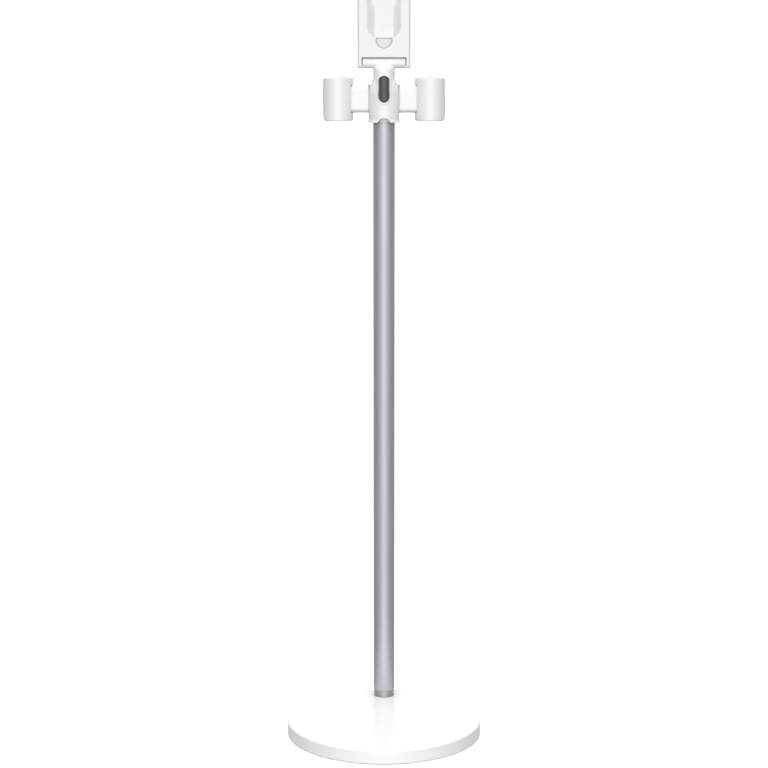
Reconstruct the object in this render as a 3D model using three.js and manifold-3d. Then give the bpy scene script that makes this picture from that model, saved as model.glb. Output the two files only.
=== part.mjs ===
// Floor stand for a cordless stick vacuum: a round weighted base, an aluminium pole near its rear rim,
// a head with a rocking release button and two accessory cups, and a dock plate on a tilting hinge.
// Millimetres, +Z up. The origin is the centre of the round base on the floor, and the front faces -Y.
import * as THREE from "three";
import { mergeVertices } from "three/addons/utils/BufferGeometryUtils.js";
import Module from "manifold-3d";

const wasm = await Module();
wasm.setup();

// ---------------------------------------------------------------- driving dimensions
const gap = 0.3; // between pieces that touch
const running = 0.1; // radial play of a shaft that turns

const cover = { radius: 142, flare: 1, top: 22, rim: 1.5, wall: 3, edge: 3, bossRadius: 4.5, bossInset: 11 };
const weight = { inset: 18, thick: 10 };
const plate = { thick: 2.5, boltHole: 11 };
const feet = { count: 5, radius: 11, thick: 2.5, inset: 24 };
const plateScrew = { headRadius: 3.5, headThick: 1.3, shankRadius: 1.7, length: 13 };
const pole = { setback: 30, radius: 16, wall: 1.4, top: 930 };
const poleFoot = { inset: 1.25, shoulder: 9, stub: 44 };
const footBolt = { radius: 4, length: 44, headRadius: 6.5, headThick: 5.5 };
const footWasher = { radius: 9, thick: 1.6 };

const collar = { wall: 3.5, height: 58, lip: 0.8, lipHeight: 2.5, taper: 40, cover: 42 };
const neck = { radius: 16, wall: 3.5, top: 75 };
const liner = { wall: 2.4, lip: 1.5, stop: 2, stopRadius: 12 };
const arch = { width: 18, height: 6.5 };
const barrel = { radius: 7.6, length: 62.3, z: 85 };

const opening = { width: 17.1, height: 38.4, z: 48.5, ring: 2.3, depth: 5.3, innerWidth: 13 };
const button = { clearance: 0.8, thick: 2.7, chamfer: 1.2, sunk: 0.5 };
const rocker = { depth: 7.5, z: 53, lugIn: 3.4, lugOut: 6, lugHeight: 7, axleRadius: 1.5, axleLength: 19 };
const latch = { z: 32.5, radius: 2.2, play: 0.9, reach: 0.4 };
const spring = { z: 62, radius: 2.6, wire: 0.5, turns: 5, length: 14.3, seatThick: 3 };

const cup = { x: 66.5, y: 5, radius: 22.05, height: 62.2, wall: 3.65, floor: 2.6, bottom: 1.8, round: 2.5 };
const saddle = { thick: 2.2, proud: 1.05, bottom: 9.5, height: 47.7, frontY: -1, innerX: 12 };
const arm = { front: -5.5, depth: 18, bottom: 13.5, height: 40, round: 6 };
const yoke = { wall: 4, sideWall: 5, round: 4 };
const rib = { halfWidth: 5, proud: 2, height: 24.5 };
const barScrew = { z: [19, 32], headRadius: 3.4, headThick: 1.8, shankRadius: 1.5, wallLeft: 1.3 };

const dock = { top: 121, front: -9, back: 11, wall: 2.5, corner: 3, earCorner: 2.2, edge: 2 };
const dockBack = { thick: 2.7, corner: 5, bottom: 3 };
const ears = { thick: 6.45, notchPlay: 0.7 };
const channel = { width: 48, floorWidth: 28, depth: 12, bend: 54.5, end: 35, endWidth: 24.4, facets: 4 };
const mouth = { floorWidth: 39, start: 80, full: 91 };
const pocket = { radius: 11.8, z: 32.8, depth: 14, lining: 1.5 };
const dockScrew = {
  inset: 6.2,
  z: [18, 113],
  headRadius: 3.2,
  headThick: 1.6,
  shankRadius: 1.5,
  length: 11,
};
const hingePin = { radius: 3 };
const bush = { radius: 5, length: 14 };
const washer = { radius: 6.5, thick: 0.5 };
const hingeCap = { radius: 5, thick: 1.5 };

// ---------------------------------------------------------------- finishes
const finish = (color, roughness, metalness) =>
  new THREE.MeshStandardMaterial({ color, roughness, metalness, flatShading: true });
const whiteGloss = finish("#f4f5f6", 0.25, 0);
const whiteSatin = finish("#eceeee", 0.4, 0);
const lightGrey = finish("#c9cbcd", 0.45, 0);
const darkGrey = finish("#615f68", 0.4, 0);
const anodised = finish("#a3a1a8", 0.38, 1);
const castZinc = finish("#9b9c9d", 0.45, 1);
const castIron = finish("#55575a", 0.7, 1);
const steel = finish("#b4b6b9", 0.35, 1);
const brass = finish("#c8a45a", 0.35, 1);
const blackSatin = finish("#2c2c2e", 0.55, 0);
const rubber = finish("#3a3a3c", 0.85, 0);

// ---------------------------------------------------------------- solids
const fine = 40;
const medium = 24;
const coarse = 12;

// A closed three.js geometry as a solid that can be joined and cut.
function solid(geometry) {
  const bare = geometry.index ? geometry.toNonIndexed() : geometry.clone();
  bare.deleteAttribute("normal");
  bare.deleteAttribute("uv");
  const merged = mergeVertices(bare, 1e-4);
  const mesh = new wasm.Mesh({
    numProp: 3,
    vertProperties: merged.attributes.position.array,
    triVerts: new Uint32Array(merged.index.array),
  });
  return new wasm.Manifold(mesh);
}

const join = (...solids) => solids.reduce((whole, next) => whole.add(next));
const cut = (body, ...tools) => tools.reduce((rest, tool) => rest.subtract(tool), body);

function block([x0, x1], [y0, y1], [z0, z1]) {
  const box = new THREE.BoxGeometry(x1 - x0, y1 - y0, z1 - z0);
  return solid(box.translate((x0 + x1) / 2, (y0 + y1) / 2, (z0 + z1) / 2));
}

// A solid of revolution about +Z. The profile runs anticlockwise in (radius, height).
function turned(profile, segments = fine) {
  const points = profile.map(([r, z]) => new THREE.Vector2(r, z));
  if (profile[0][0] > 0) points.push(points[0].clone());
  return solid(new THREE.LatheGeometry(points, segments).rotateX(Math.PI / 2));
}

const disc = (radius, z0, z1, segments = medium) =>
  turned([[0, z0], [radius, z0], [radius, z1], [0, z1]], segments);
const ring = (inner, outer, z0, z1, segments = medium) =>
  turned([[inner, z0], [outer, z0], [outer, z1], [inner, z1]], segments);

// A rod of the given radius along X or Y, from one coordinate to the other, at the other two coordinates.
function rod(axis, radius, from, to, [u, v], segments = coarse) {
  const shape = new THREE.CylinderGeometry(radius, radius, to - from, segments);
  const middle = (from + to) / 2;
  if (axis === "x") return solid(shape.rotateZ(Math.PI / 2).translate(middle, u, v));
  return solid(shape.translate(u, middle, v));
}

// An outline in (x, z) pushed along Y from the front to the back.
function slab(outline, front, back, curveSegments = 10) {
  const depth = back - front;
  const shape = new THREE.ExtrudeGeometry(outline, { depth, bevelEnabled: false, curveSegments });
  return solid(shape.rotateX(Math.PI / 2).translate(0, back, 0));
}

// The same with its front edge chamfered by the given size.
function chamferedSlab(outline, front, back, chamfer, curveSegments = 10) {
  const shape = new THREE.ExtrudeGeometry(outline, {
    depth: back - front,
    bevelEnabled: true,
    bevelSize: chamfer,
    bevelThickness: chamfer,
    bevelOffset: -chamfer,
    bevelSegments: 2,
    curveSegments,
  });
  const whole = solid(shape.rotateX(Math.PI / 2).translate(0, back, 0));
  const far = 500;
  return whole.intersect(block([-far, far], [front - chamfer, back], [-far, far]));
}

// An outline in (y, z) pushed along X from one side to the other.
function beam(outline, left, right, curveSegments = 6) {
  const depth = right - left;
  const shape = new THREE.ExtrudeGeometry(outline, { depth, bevelEnabled: false, curveSegments });
  return solid(shape.rotateX(Math.PI / 2).rotateZ(Math.PI / 2).translate(left, 0, 0));
}

// lower is the radius of the two corners at the lower end.
function roundedRectangle([x0, x1], [y0, y1], radius, lower = radius) {
  const outline = new THREE.Shape();
  outline.moveTo(x0 + lower, y0);
  outline.lineTo(x1 - lower, y0);
  outline.absarc(x1 - lower, y0 + lower, lower, -Math.PI / 2, 0);
  outline.lineTo(x1, y1 - radius);
  outline.absarc(x1 - radius, y1 - radius, radius, 0, Math.PI / 2);
  outline.lineTo(x0 + radius, y1);
  outline.absarc(x0 + radius, y1 - radius, radius, Math.PI / 2, Math.PI);
  outline.lineTo(x0, y0 + lower);
  outline.absarc(x0 + lower, y0 + lower, lower, Math.PI, 1.5 * Math.PI);
  return outline;
}

// An upright slot shape with round ends, centred on x = 0.
function capsule(width, height, z) {
  const radius = width / 2;
  const reach = height / 2 - radius;
  const outline = new THREE.Shape();
  outline.absarc(0, z + reach, radius, 0, Math.PI);
  outline.absarc(0, z - reach, radius, Math.PI, 2 * Math.PI);
  return outline;
}

function polygon(points) {
  return new THREE.Shape(points.map(([x, y]) => new THREE.Vector2(x, y)));
}

function node(name, body, material) {
  const { vertProperties, triVerts, numProp } = body.getMesh();
  const positions = new Float32Array((vertProperties.length / numProp) * 3);
  for (let i = 0; i < positions.length / 3; i += 1) {
    for (let k = 0; k < 3; k += 1) positions[3 * i + k] = vertProperties[numProp * i + k];
  }
  const geometry = new THREE.BufferGeometry();
  geometry.setAttribute("position", new THREE.BufferAttribute(positions, 3));
  geometry.setIndex(new THREE.BufferAttribute(new Uint32Array(triVerts), 1));
  geometry.computeVertexNormals();
  const mesh = new THREE.Mesh(geometry, material);
  mesh.name = name;
  return mesh;
}

const around = (count, radius, turn = 0) =>
  Array.from({ length: count }, (_, i) => {
    const angle = turn + (2 * Math.PI * i) / count;
    return [radius * Math.sin(angle), -radius * Math.cos(angle)];
  });

// ---------------------------------------------------------------- base
const coverInside = cover.top - cover.wall;
const innerRadius = cover.radius - cover.wall;
const poleY = cover.radius - pole.setback;
const poleFootRadius = pole.radius - poleFoot.inset;
const weightTop = coverInside - gap;
const weightBottom = weightTop - weight.thick;
const plateBottom = feet.thick + gap;
const plateTop = plateBottom + plate.thick;
const screwCircle = innerRadius - cover.bossInset + cover.bossRadius;
const screwPlaces = around(feet.count, screwCircle, Math.PI / feet.count);
const footPlaces = around(feet.count, cover.radius - feet.inset);

function baseCover() {
  const edgeArc = [0, 1, 2, 3].map((i) => {
    const angle = (i * Math.PI) / 6;
    const radius = cover.radius - cover.flare - cover.edge;
    return [radius + cover.edge * Math.cos(angle), cover.top - cover.edge + cover.edge * Math.sin(angle)];
  });
  const profile = [
    [0, coverInside],
    [innerRadius - cover.flare, coverInside],
    [innerRadius, cover.rim],
    [cover.radius, cover.rim],
    ...edgeArc,
    [0, cover.top],
  ];
  const shell = turned(profile, 2 * fine);
  const boss = disc(cover.bossRadius, plateTop + gap, coverInside + cover.wall / 2, coarse);
  const bosses = screwPlaces.map(([x, y]) => boss.translate(x, y, 0));
  const screwTop = plateBottom + plateScrew.length;
  const hole = disc(plateScrew.shankRadius + gap, plateBottom - 1, screwTop, coarse);
  const holes = screwPlaces.map(([x, y]) => hole.translate(x, y, 0));
  const poleHole = disc(poleFootRadius + gap, coverInside - 1, cover.top + 1).translate(0, poleY, 0);
  return cut(join(shell, ...bosses), ...holes, poleHole);
}

function baseWeight() {
  const slug = disc(innerRadius - weight.inset + cover.wall, weightBottom, weightTop, fine);
  const seat = weightTop - weight.thick / 2;
  const boltHole = disc(footBolt.radius + gap, weightBottom - 1, weightTop + 1, coarse);
  const counterbore = disc(footWasher.radius + gap, weightBottom - 1, seat, coarse);
  return cut(slug, boltHole.translate(0, poleY, 0), counterbore.translate(0, poleY, 0));
}

function bottomPlate() {
  const sheet = disc(innerRadius - cover.flare - gap, plateBottom, plateTop, 2 * fine);
  const hole = disc(plateScrew.shankRadius + gap, plateBottom - 1, plateTop + 1, coarse);
  const holes = screwPlaces.map(([x, y]) => hole.translate(x, y, 0));
  const access = disc(plate.boltHole, plateBottom - 1, plateTop + 1, coarse).translate(0, poleY, 0);
  return cut(sheet, ...holes, access);
}

function foot() {
  const soft = 0.8;
  const profile = [
    [0, 0],
    [feet.radius - soft, 0],
    [feet.radius, soft],
    [feet.radius, feet.thick],
    [0, feet.thick],
  ];
  return turned(profile, medium);
}

function screwUp(screw) {
  const head = disc(screw.headRadius, -screw.headThick, 0, coarse);
  return join(head, disc(screw.shankRadius, -screw.headThick / 2, screw.length, coarse));
}

const baseGroup = new THREE.Group();
baseGroup.add(node("base_cover", baseCover(), whiteGloss));
baseGroup.add(node("base_weight", baseWeight(), castIron));
baseGroup.add(node("bottom_plate", bottomPlate(), lightGrey));
footPlaces.forEach(([x, y], i) => {
  const pad = node(`foot_${i + 1}`, foot(), rubber);
  pad.position.set(x, y, 0);
  baseGroup.add(pad);
});
const plateScrewBody = screwUp({ ...plateScrew, length: plateScrew.length - 1 });
screwPlaces.forEach(([x, y], i) => {
  const screw = node(`plate_screw_${i + 1}`, plateScrewBody, steel);
  screw.position.set(x, y, plateBottom - gap);
  baseGroup.add(screw);
});

// ---------------------------------------------------------------- pole, about its own axis
const footBottom = weightTop + gap;
const shoulderTop = cover.top + poleFoot.shoulder;
const poleBottom = shoulderTop + gap;
const tubeInside = pole.radius - pole.wall;
const collarBottom = pole.top - collar.cover;
const latchHoleZ = collarBottom + latch.z;
const boltSeat = weightTop - weight.thick / 2;
const washerTop = boltSeat - gap;
const boltHeadTop = washerTop - footWasher.thick - gap;

function polePlug() {
  const profile = [
    [0, footBottom],
    [poleFootRadius, footBottom],
    [poleFootRadius, shoulderTop],
    [tubeInside - gap, shoulderTop],
    [tubeInside - gap, shoulderTop + poleFoot.stub - 2],
    [tubeInside - gap - 2, shoulderTop + poleFoot.stub],
    [0, shoulderTop + poleFoot.stub],
  ];
  const thread = disc(footBolt.radius + gap, footBottom - 1, boltHeadTop + footBolt.length + 2, coarse);
  return cut(turned(profile, medium), thread);
}

function poleTube() {
  const tube = ring(tubeInside, pole.radius, poleBottom, pole.top, fine);
  return cut(tube, rod("y", latch.radius + latch.play, -pole.radius - 2, 0, [0, latchHoleZ]));
}

function poleBolt() {
  const head = disc(footBolt.headRadius, boltHeadTop - footBolt.headThick, boltHeadTop, 6);
  return join(head, disc(footBolt.radius, boltHeadTop - 1, boltHeadTop + footBolt.length, coarse));
}

const poleGroup = new THREE.Group();
poleGroup.position.y = poleY;
poleGroup.add(node("pole_foot", polePlug(), castZinc));
poleGroup.add(node("pole_tube", poleTube(), anodised));
poleGroup.add(node("foot_bolt", poleBolt(), steel));
const washerBottom = washerTop - footWasher.thick;
const washerRing = ring(footBolt.radius + gap, footWasher.radius, washerBottom, washerTop, coarse);
poleGroup.add(node("foot_washer", washerRing, steel));

// ---------------------------------------------------------------- head, about the pole axis, from its foot
const poleTopInHead = collar.cover;
const linerInside = pole.radius + gap;
const linerOutside = linerInside + liner.wall;
const linerTop = poleTopInHead + gap + liner.stop;
const socketRadius = linerOutside + gap;
const boreTop = linerTop + gap;
const collarRadius = socketRadius + collar.wall;
const lipRadius = collarRadius + collar.lip;
const neckBore = neck.radius - neck.wall;
const bossRadius = collarRadius - 0.1;
const pocketFloor = -(collarRadius - opening.depth);
const rockerY = -(collarRadius - rocker.depth);
const latchTip = tubeInside - latch.reach;
const ribBack = collarRadius + rib.proud;
const yokeBack = collarRadius + yoke.wall;
const yokeHalf = collarRadius + yoke.sideWall;
const cavityTop = neck.top - 5;

// The outside of the bottle-shaped moulding, with an elliptical shoulder and a domed top.
function housingOutside() {
  const shoulder = [1, 2, 3, 4].map((i) => {
    const angle = (i * Math.PI) / 8;
    const rise = collar.height - collar.taper;
    return [
      neck.radius + (collarRadius - neck.radius) * Math.cos(angle),
      collar.taper + rise * Math.sin(angle),
    ];
  });
  const dome = [1, 2, 3].map((i) => {
    const angle = (i * Math.PI) / 6;
    const rise = barrel.z - neck.top;
    return [neck.radius * Math.cos(angle), neck.top + rise * Math.sin(angle)];
  });
  dome[dome.length - 1][0] = 0;
  const profile = [
    [0, 0],
    [lipRadius, 0],
    [lipRadius, collar.lipHeight],
    [collarRadius, 2 * collar.lipHeight],
    [collarRadius, collar.taper],
    ...shoulder,
    [neck.radius, neck.top],
    ...dome,
  ];
  return turned(profile, fine);
}

const bushDepth = barrel.length / 2 - bush.length;

function headHousing() {
  const half = barrel.length / 2;
  const cross = rod("x", barrel.radius, -half, half, [0, barrel.z], medium);
  const bossWidth = opening.width + 2 * opening.ring;
  const bossShape = capsule(bossWidth, opening.height + 2 * opening.ring, opening.z);
  const bossSlab = slab(bossShape, -bossRadius - 5, -neckBore / 2);
  const boss = bossSlab.intersect(disc(bossRadius, 0, neck.top, fine));
  const ribSide = [-rib.halfWidth, rib.halfWidth];
  const key = block(ribSide, [socketRadius + 1, ribBack], [arm.bottom, arm.bottom + rib.height]);
  const outside = join(housingOutside(), cross, boss, key);

  const socket = disc(socketRadius, -1, boreTop, fine);
  const cavity = disc(neckBore, boreTop - 1, cavityTop, medium);
  const outer = slab(capsule(opening.width, opening.height, opening.z), -lipRadius - 5, pocketFloor);
  const inner = block(
    [-opening.innerWidth / 2, opening.innerWidth / 2],
    [pocketFloor - 1, -neckBore / 2],
    [boreTop - 1, opening.z + opening.height / 2 - 2.5],
  );
  const archShape = new THREE.Shape();
  archShape.absellipse(0, 0, arch.width / 2, arch.height, 0, Math.PI);
  archShape.lineTo(-arch.width / 2, -1);
  archShape.lineTo(arch.width / 2, -1);
  const archCut = slab(archShape, -lipRadius - 1, -linerInside);
  const bores = [-1, 1].map((side) => {
    const ends = [side * bushDepth, side * (half + 1)].sort((a, b) => a - b);
    return rod("x", bush.radius + gap, ends[0], ends[1], [0, barrel.z]);
  });
  const through = rod("x", hingePin.radius + 2 * gap, -half, half, [0, barrel.z]);
  const axleEnd = rocker.axleLength / 2 + gap;
  const axleHole = rod("x", rocker.axleRadius + gap, -axleEnd, axleEnd, [rockerY, rocker.z]);
  const screwHoles = barScrew.z.map((z) =>
    rod("y", barScrew.shankRadius + gap, socketRadius + barScrew.wallLeft - gap, ribBack + 1, [0, z]),
  );
  const rooms = [socket, cavity, outer, inner, archCut, ...bores, through, axleHole, ...screwHoles];
  const hollow = cut(outside, ...rooms);
  const seatSpan = [springSeat, springSeat + spring.seatThick];
  const seat = block([-neckBore, neckBore], seatSpan, [spring.z - 6, cavityTop + 1]);
  return join(hollow, seat.intersect(disc(neckBore + 1, 0, neck.top, medium)));
}

function socketLiner() {
  const profile = [
    [linerInside, liner.lip],
    [linerOutside, liner.lip],
    [linerOutside, linerTop],
    [liner.stopRadius, linerTop],
    [liner.stopRadius, poleTopInHead + gap],
    [linerInside, poleTopInHead + gap],
  ];
  const window = rod("y", latch.radius + latch.play + 0.5, -socketRadius, 0, [0, latch.z]);
  return cut(turned(profile, fine), window);
}

const buttonWidth = opening.width - 2 * button.clearance;
const buttonHeight = opening.height - 2 * button.clearance;
const buttonFace = collarRadius - button.sunk;
const buttonBack = -(buttonFace - button.thick);
const springSeat = buttonBack + spring.length;

function releaseButton() {
  const outline = capsule(buttonWidth, buttonHeight, opening.z);
  const face = chamferedSlab(outline, -buttonFace + button.chamfer, buttonBack, button.chamfer, 12);
  const shell = face.intersect(disc(buttonFace, 0, neck.top + 10, 2 * fine));
  const lugs = [-1, 1].map((side) => {
    const xs = [side * rocker.lugIn, side * rocker.lugOut].sort((a, b) => a - b);
    const top = rocker.z + rocker.lugHeight / 2;
    return block(xs, [buttonBack - 0.5, rockerY + rocker.lugHeight / 2], [top - rocker.lugHeight, top]);
  });
  const axleReach = rocker.lugOut + 1;
  const axle = rod("x", rocker.axleRadius + running, -axleReach, axleReach, [rockerY, rocker.z]);
  const pinSocket = rod("y", latch.radius + gap, buttonBack - 1, buttonBack + 1, [0, latch.z]);
  return cut(join(shell, ...lugs), axle, pinSocket);
}

function latchPin() {
  const stem = rod("y", latch.radius, buttonBack - 1 + gap, -latchTip - 0.8, [0, latch.z]);
  const tip = new THREE.CylinderGeometry(latch.radius, latch.radius - 0.8, 0.9, coarse);
  return join(stem, solid(tip.rotateX(Math.PI).translate(0, -latchTip - 0.45, latch.z)));
}

const axleHalf = rocker.axleLength / 2;
const buttonAxle = rod("x", rocker.axleRadius, -axleHalf, axleHalf, [rockerY, rocker.z]);

// A coil spring with its axis along Y, from the button's back to its seat.
function buttonSpring() {
  const start = buttonBack + gap + spring.wire;
  const length = springSeat - gap - spring.wire - start;
  const steps = 8 * spring.turns;
  const turns = Array.from({ length: steps + 1 }, (_, i) => {
    const angle = (i * Math.PI) / 4;
    const x = spring.radius * Math.cos(angle);
    return new THREE.Vector3(x, start + (length * i) / steps, spring.z + spring.radius * Math.sin(angle));
  });
  const section = new THREE.Shape();
  section.absarc(0, 0, spring.wire, 0, 2 * Math.PI);
  const extrudePath = new THREE.CatmullRomCurve3(turns);
  const wire = { steps, curveSegments: 3, bevelEnabled: false, extrudePath };
  return solid(new THREE.ExtrudeGeometry(section, wire));
}

const recessRadius = cup.radius + saddle.proud - saddle.thick - gap;
const saddleRadius = cup.radius + saddle.proud;
const saddleTop = saddle.bottom + saddle.height;
const armTop = arm.bottom + arm.height;

// The strip behind and outside one cup, in that cup's own frame, grown by a margin above, below and in
// front. side is 1 on the right and -1 on the left, and reach is how far forward it comes beside the arm.
function saddleStrip(side, inside, outside, margin, reach) {
  const far = outside + 1;
  const towards = (from, to) => [side * from, side * to].sort((a, b) => a - b);
  const strip = (z0, z1, xs, front) =>
    ring(inside, outside, z0, z1, fine).intersect(block(xs, [front - margin, far], [z0, z1]));
  const outerSpan = towards(-saddle.innerX - margin, far);
  const outer = strip(saddle.bottom - margin, saddleTop + margin, outerSpan, saddle.frontY);
  const inner = strip(arm.bottom - margin, armTop + margin, towards(-far, 0), reach);
  return join(outer, inner);
}

function crossbar() {
  const half = cup.x;
  const section = roundedRectangle([arm.front, arm.front + arm.depth], [arm.bottom, armTop], arm.round);
  const bar = beam(section, -half, half);
  const yokeShape = roundedRectangle([-yokeHalf, yokeHalf], [arm.front + arm.depth / 2, yokeBack], yoke.round);
  const yokeBlock = solid(
    new THREE.ExtrudeGeometry(yokeShape, { depth: arm.height, bevelEnabled: false, curveSegments: 4 }),
  ).translate(0, 0, arm.bottom);
  const collarRoom = disc(collarRadius + gap, -1, collar.height + 20, fine);
  const keyRoom = block(
    [-rib.halfWidth - gap, rib.halfWidth + gap],
    [0, ribBack + gap],
    [arm.bottom - 1, arm.bottom + rib.height + gap],
  );
  const screwRoom = barScrew.z.map((z) =>
    rod("y", barScrew.shankRadius + gap, ribBack, yokeBack + 1, [0, z]),
  );
  const strips = [-1, 1].map((side) =>
    saddleStrip(side, recessRadius, saddleRadius, 0, 0).translate([side * cup.x, cup.y, 0]),
  );
  const cupRoom = disc(recessRadius + gap, -1, saddleTop + 9, fine);
  const cupRooms = [-1, 1].map((side) => cupRoom.translate([side * cup.x, cup.y, 0]));
  return cut(join(bar, yokeBlock, ...strips), collarRoom, keyRoom, ...screwRoom, ...cupRooms);
}

function accessoryCup(side) {
  const top = cup.bottom + cup.height;
  const inside = cup.radius - cup.wall;
  const rim = 0.6;
  const bottomArc = [0, 1, 2, 3].map((i) => {
    const angle = -Math.PI / 2 + (i * Math.PI) / 6;
    return [
      cup.radius - cup.round + cup.round * Math.cos(angle),
      cup.bottom + cup.round + cup.round * Math.sin(angle),
    ];
  });
  const profile = [
    [0, cup.bottom],
    ...bottomArc,
    [cup.radius, top - rim],
    [cup.radius - rim, top],
    [inside, top],
    [inside, cup.bottom + cup.floor],
    [0, cup.bottom + cup.floor],
  ];
  const body = turned(profile, fine);
  return cut(body, saddleStrip(side, recessRadius, saddleRadius + 2, gap, arm.front - cup.y));
}

function screwForward({ headRadius, headThick, shankRadius }, length) {
  const shank = rod("y", shankRadius, -length, headThick / 2, [0, 0]);
  return join(rod("y", headRadius, 0, headThick, [0, 0]), shank);
}

const headGroup = new THREE.Group();
headGroup.position.set(0, poleY, collarBottom);
headGroup.add(node("head_housing", headHousing(), whiteGloss));
headGroup.add(node("socket_liner", socketLiner(), lightGrey));
headGroup.add(node("release_button", releaseButton(), darkGrey));
headGroup.add(node("latch_pin", latchPin(), steel));
headGroup.add(node("button_axle", buttonAxle, steel));
headGroup.add(node("button_spring", buttonSpring(), steel));
headGroup.add(node("crossbar", crossbar(), whiteGloss));
barScrew.z.forEach((z, i) => {
  const reach = yokeBack + gap - socketRadius - barScrew.wallLeft;
  const screw = node(`crossbar_screw_${i + 1}`, screwForward(barScrew, reach), steel);
  screw.position.set(0, yokeBack + gap, z);
  headGroup.add(screw);
});
for (const [name, side] of [["cup_left", -1], ["cup_right", 1]]) {
  const holder = node(name, accessoryCup(side), whiteGloss);
  holder.position.set(side * cup.x, cup.y, 0);
  headGroup.add(holder);
}

// ---------------------------------------------------------------- dock, about the hinge axis
const shimRoom = gap + washer.thick + gap;
const earInside = barrel.length / 2 + shimRoom;
const halfDock = earInside + ears.thick;
const dockBottom = -barrel.radius;
const notchTop = barrel.radius + ears.notchPlay;
const frontBack = dock.back - dockBack.thick - gap;
const channelFloor = dock.front + channel.depth;
const cavityBottom = notchTop + dock.wall;

// The volume of the channel: a trapezium section that runs down to a tapered end, with a wider mouth.
function channelVolume() {
  const over = 1;
  const slope = (channel.width - channel.floorWidth) / 2 / channel.depth;
  const trapezium = (floorWidth) => {
    const slant = (channel.width - floorWidth) / 2 / channel.depth;
    return polygon([
      [-channel.width / 2 - over * slant, dock.front - over],
      [channel.width / 2 + over * slant, dock.front - over],
      [floorWidth / 2, channelFloor],
      [-floorWidth / 2, channelFloor],
    ]);
  };
  const tall = { depth: dock.top + 2 * over, bevelEnabled: false };
  const straight = solid(new THREE.ExtrudeGeometry(trapezium(channel.floorWidth), tall));
  const wide = solid(new THREE.ExtrudeGeometry(trapezium(mouth.floorWidth), tall));
  const side = channel.width / 2 + over * slope;
  const taper = Array.from({ length: channel.facets + 1 }, (_, i) => {
    const t = i / channel.facets;
    const width = channel.endWidth + (2 * side - channel.endWidth) * t * (2 - t);
    return [width / 2, channel.end + (channel.bend - channel.end) * t];
  });
  const right = [...taper, [side, dock.top + over]];
  const left = right.map(([x, z]) => [-x, z]).reverse();
  const upright = slab(polygon([...right, ...left]), dock.front - over, channelFloor);
  const flared = slab(
    polygon([
      [-channel.floorWidth / 2, mouth.start],
      [channel.floorWidth / 2, mouth.start],
      [mouth.floorWidth / 2, mouth.full],
      [side, mouth.full],
      [side, dock.top + over],
      [-side, dock.top + over],
      [-side, mouth.full],
      [-mouth.floorWidth / 2, mouth.full],
    ]),
    dock.front - over,
    channelFloor,
  );
  return join(straight.intersect(upright), wide.intersect(flared));
}

// The half-moon pocket below the channel, grown by a margin.
function pocketVolume(margin, front, back) {
  const outline = new THREE.Shape();
  outline.moveTo(pocket.radius + margin, pocket.z);
  outline.lineTo(pocket.radius + margin, channel.end + margin + 0.5);
  outline.lineTo(-pocket.radius - margin, channel.end + margin + 0.5);
  outline.lineTo(-pocket.radius - margin, pocket.z);
  outline.absarc(0, pocket.z, pocket.radius + margin, Math.PI, 2 * Math.PI);
  return slab(outline, front, back, 14);
}

const pocketBack = dock.front + pocket.depth;

function dockFront() {
  const height = [dockBottom, dock.top];
  const outline = roundedRectangle([-halfDock, halfDock], height, dock.corner, dock.earCorner);
  const body = chamferedSlab(outline, dock.front + dock.edge, frontBack, dock.edge);
  const notchDepth = [dock.front - 1, frontBack + 1];
  const notch = block([-earInside, earInside], notchDepth, [dockBottom - 1, notchTop]);
  const inner = halfDock - dock.wall;
  const cavityDepth = [dock.front + dock.wall, frontBack + 1];
  const cavity = block([-inner, inner], cavityDepth, [cavityBottom, dock.top - dock.wall]);
  const grown = channel.width / 2 + dock.wall;
  const channelWall = block(
    [-grown, grown],
    [dock.front + dock.wall - 0.5, channelFloor + dock.wall],
    [channel.end - dock.wall, dock.top - dock.wall / 2],
  );
  const pocketWall = pocketVolume(dock.wall, dock.front + dock.wall - 0.5, frontBack);
  const bosses = dockScrewPlaces().map(([x, z]) =>
    rod("y", dockScrew.shankRadius + gap + 2, dock.front + dock.wall - 0.5, frontBack, [x, z]),
  );
  const hollow = join(cut(body, notch, cavity), channelWall, pocketWall, ...bosses);
  const pinHole = rod("x", hingePin.radius + gap, -halfDock - 1, halfDock + 1, [0, 0]);
  const capSeats = [-1, 1].map((side) => {
    const ends = [side * (halfDock - hingeCap.thick - gap), side * (halfDock + 1)].sort((a, b) => a - b);
    return rod("x", hingeCap.radius + gap, ends[0], ends[1], [0, 0], medium);
  });
  const screwHoles = dockScrewPlaces().map(([x, z]) =>
    rod("y", dockScrew.shankRadius + gap, dock.front + dock.wall + 2, frontBack + 1, [x, z]),
  );
  const room = pocketVolume(0, dock.front - 1, pocketBack);
  return cut(hollow, channelVolume(), room, pinHole, ...capSeats, ...screwHoles);
}

function dockScrewPlaces() {
  return [-1, 1].flatMap((side) => dockScrew.z.map((z) => [side * (halfDock - dockScrew.inset), z]));
}

function dockBackCover() {
  const outline = roundedRectangle([-halfDock, halfDock], [dockBack.bottom, dock.top], dockBack.corner);
  const shape = new THREE.ExtrudeGeometry(outline, {
    depth: 0.01,
    bevelEnabled: true,
    bevelSize: dock.edge,
    bevelThickness: dockBack.thick,
    bevelOffset: -dock.edge,
    bevelSegments: 2,
    curveSegments: 6,
  });
  const cushion = solid(shape.rotateX(Math.PI / 2).translate(0, dock.back - dockBack.thick, 0));
  const far = 200;
  const backHalf = cushion.intersect(block([-far, far], [dock.back - dockBack.thick, far], [-far, far]));
  const holes = dockScrewPlaces().map(([x, z]) =>
    rod("y", dockScrew.shankRadius + gap, dock.back - dockBack.thick - 1, dock.back + 1, [x, z]),
  );
  return cut(backHalf, ...holes);
}

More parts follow.
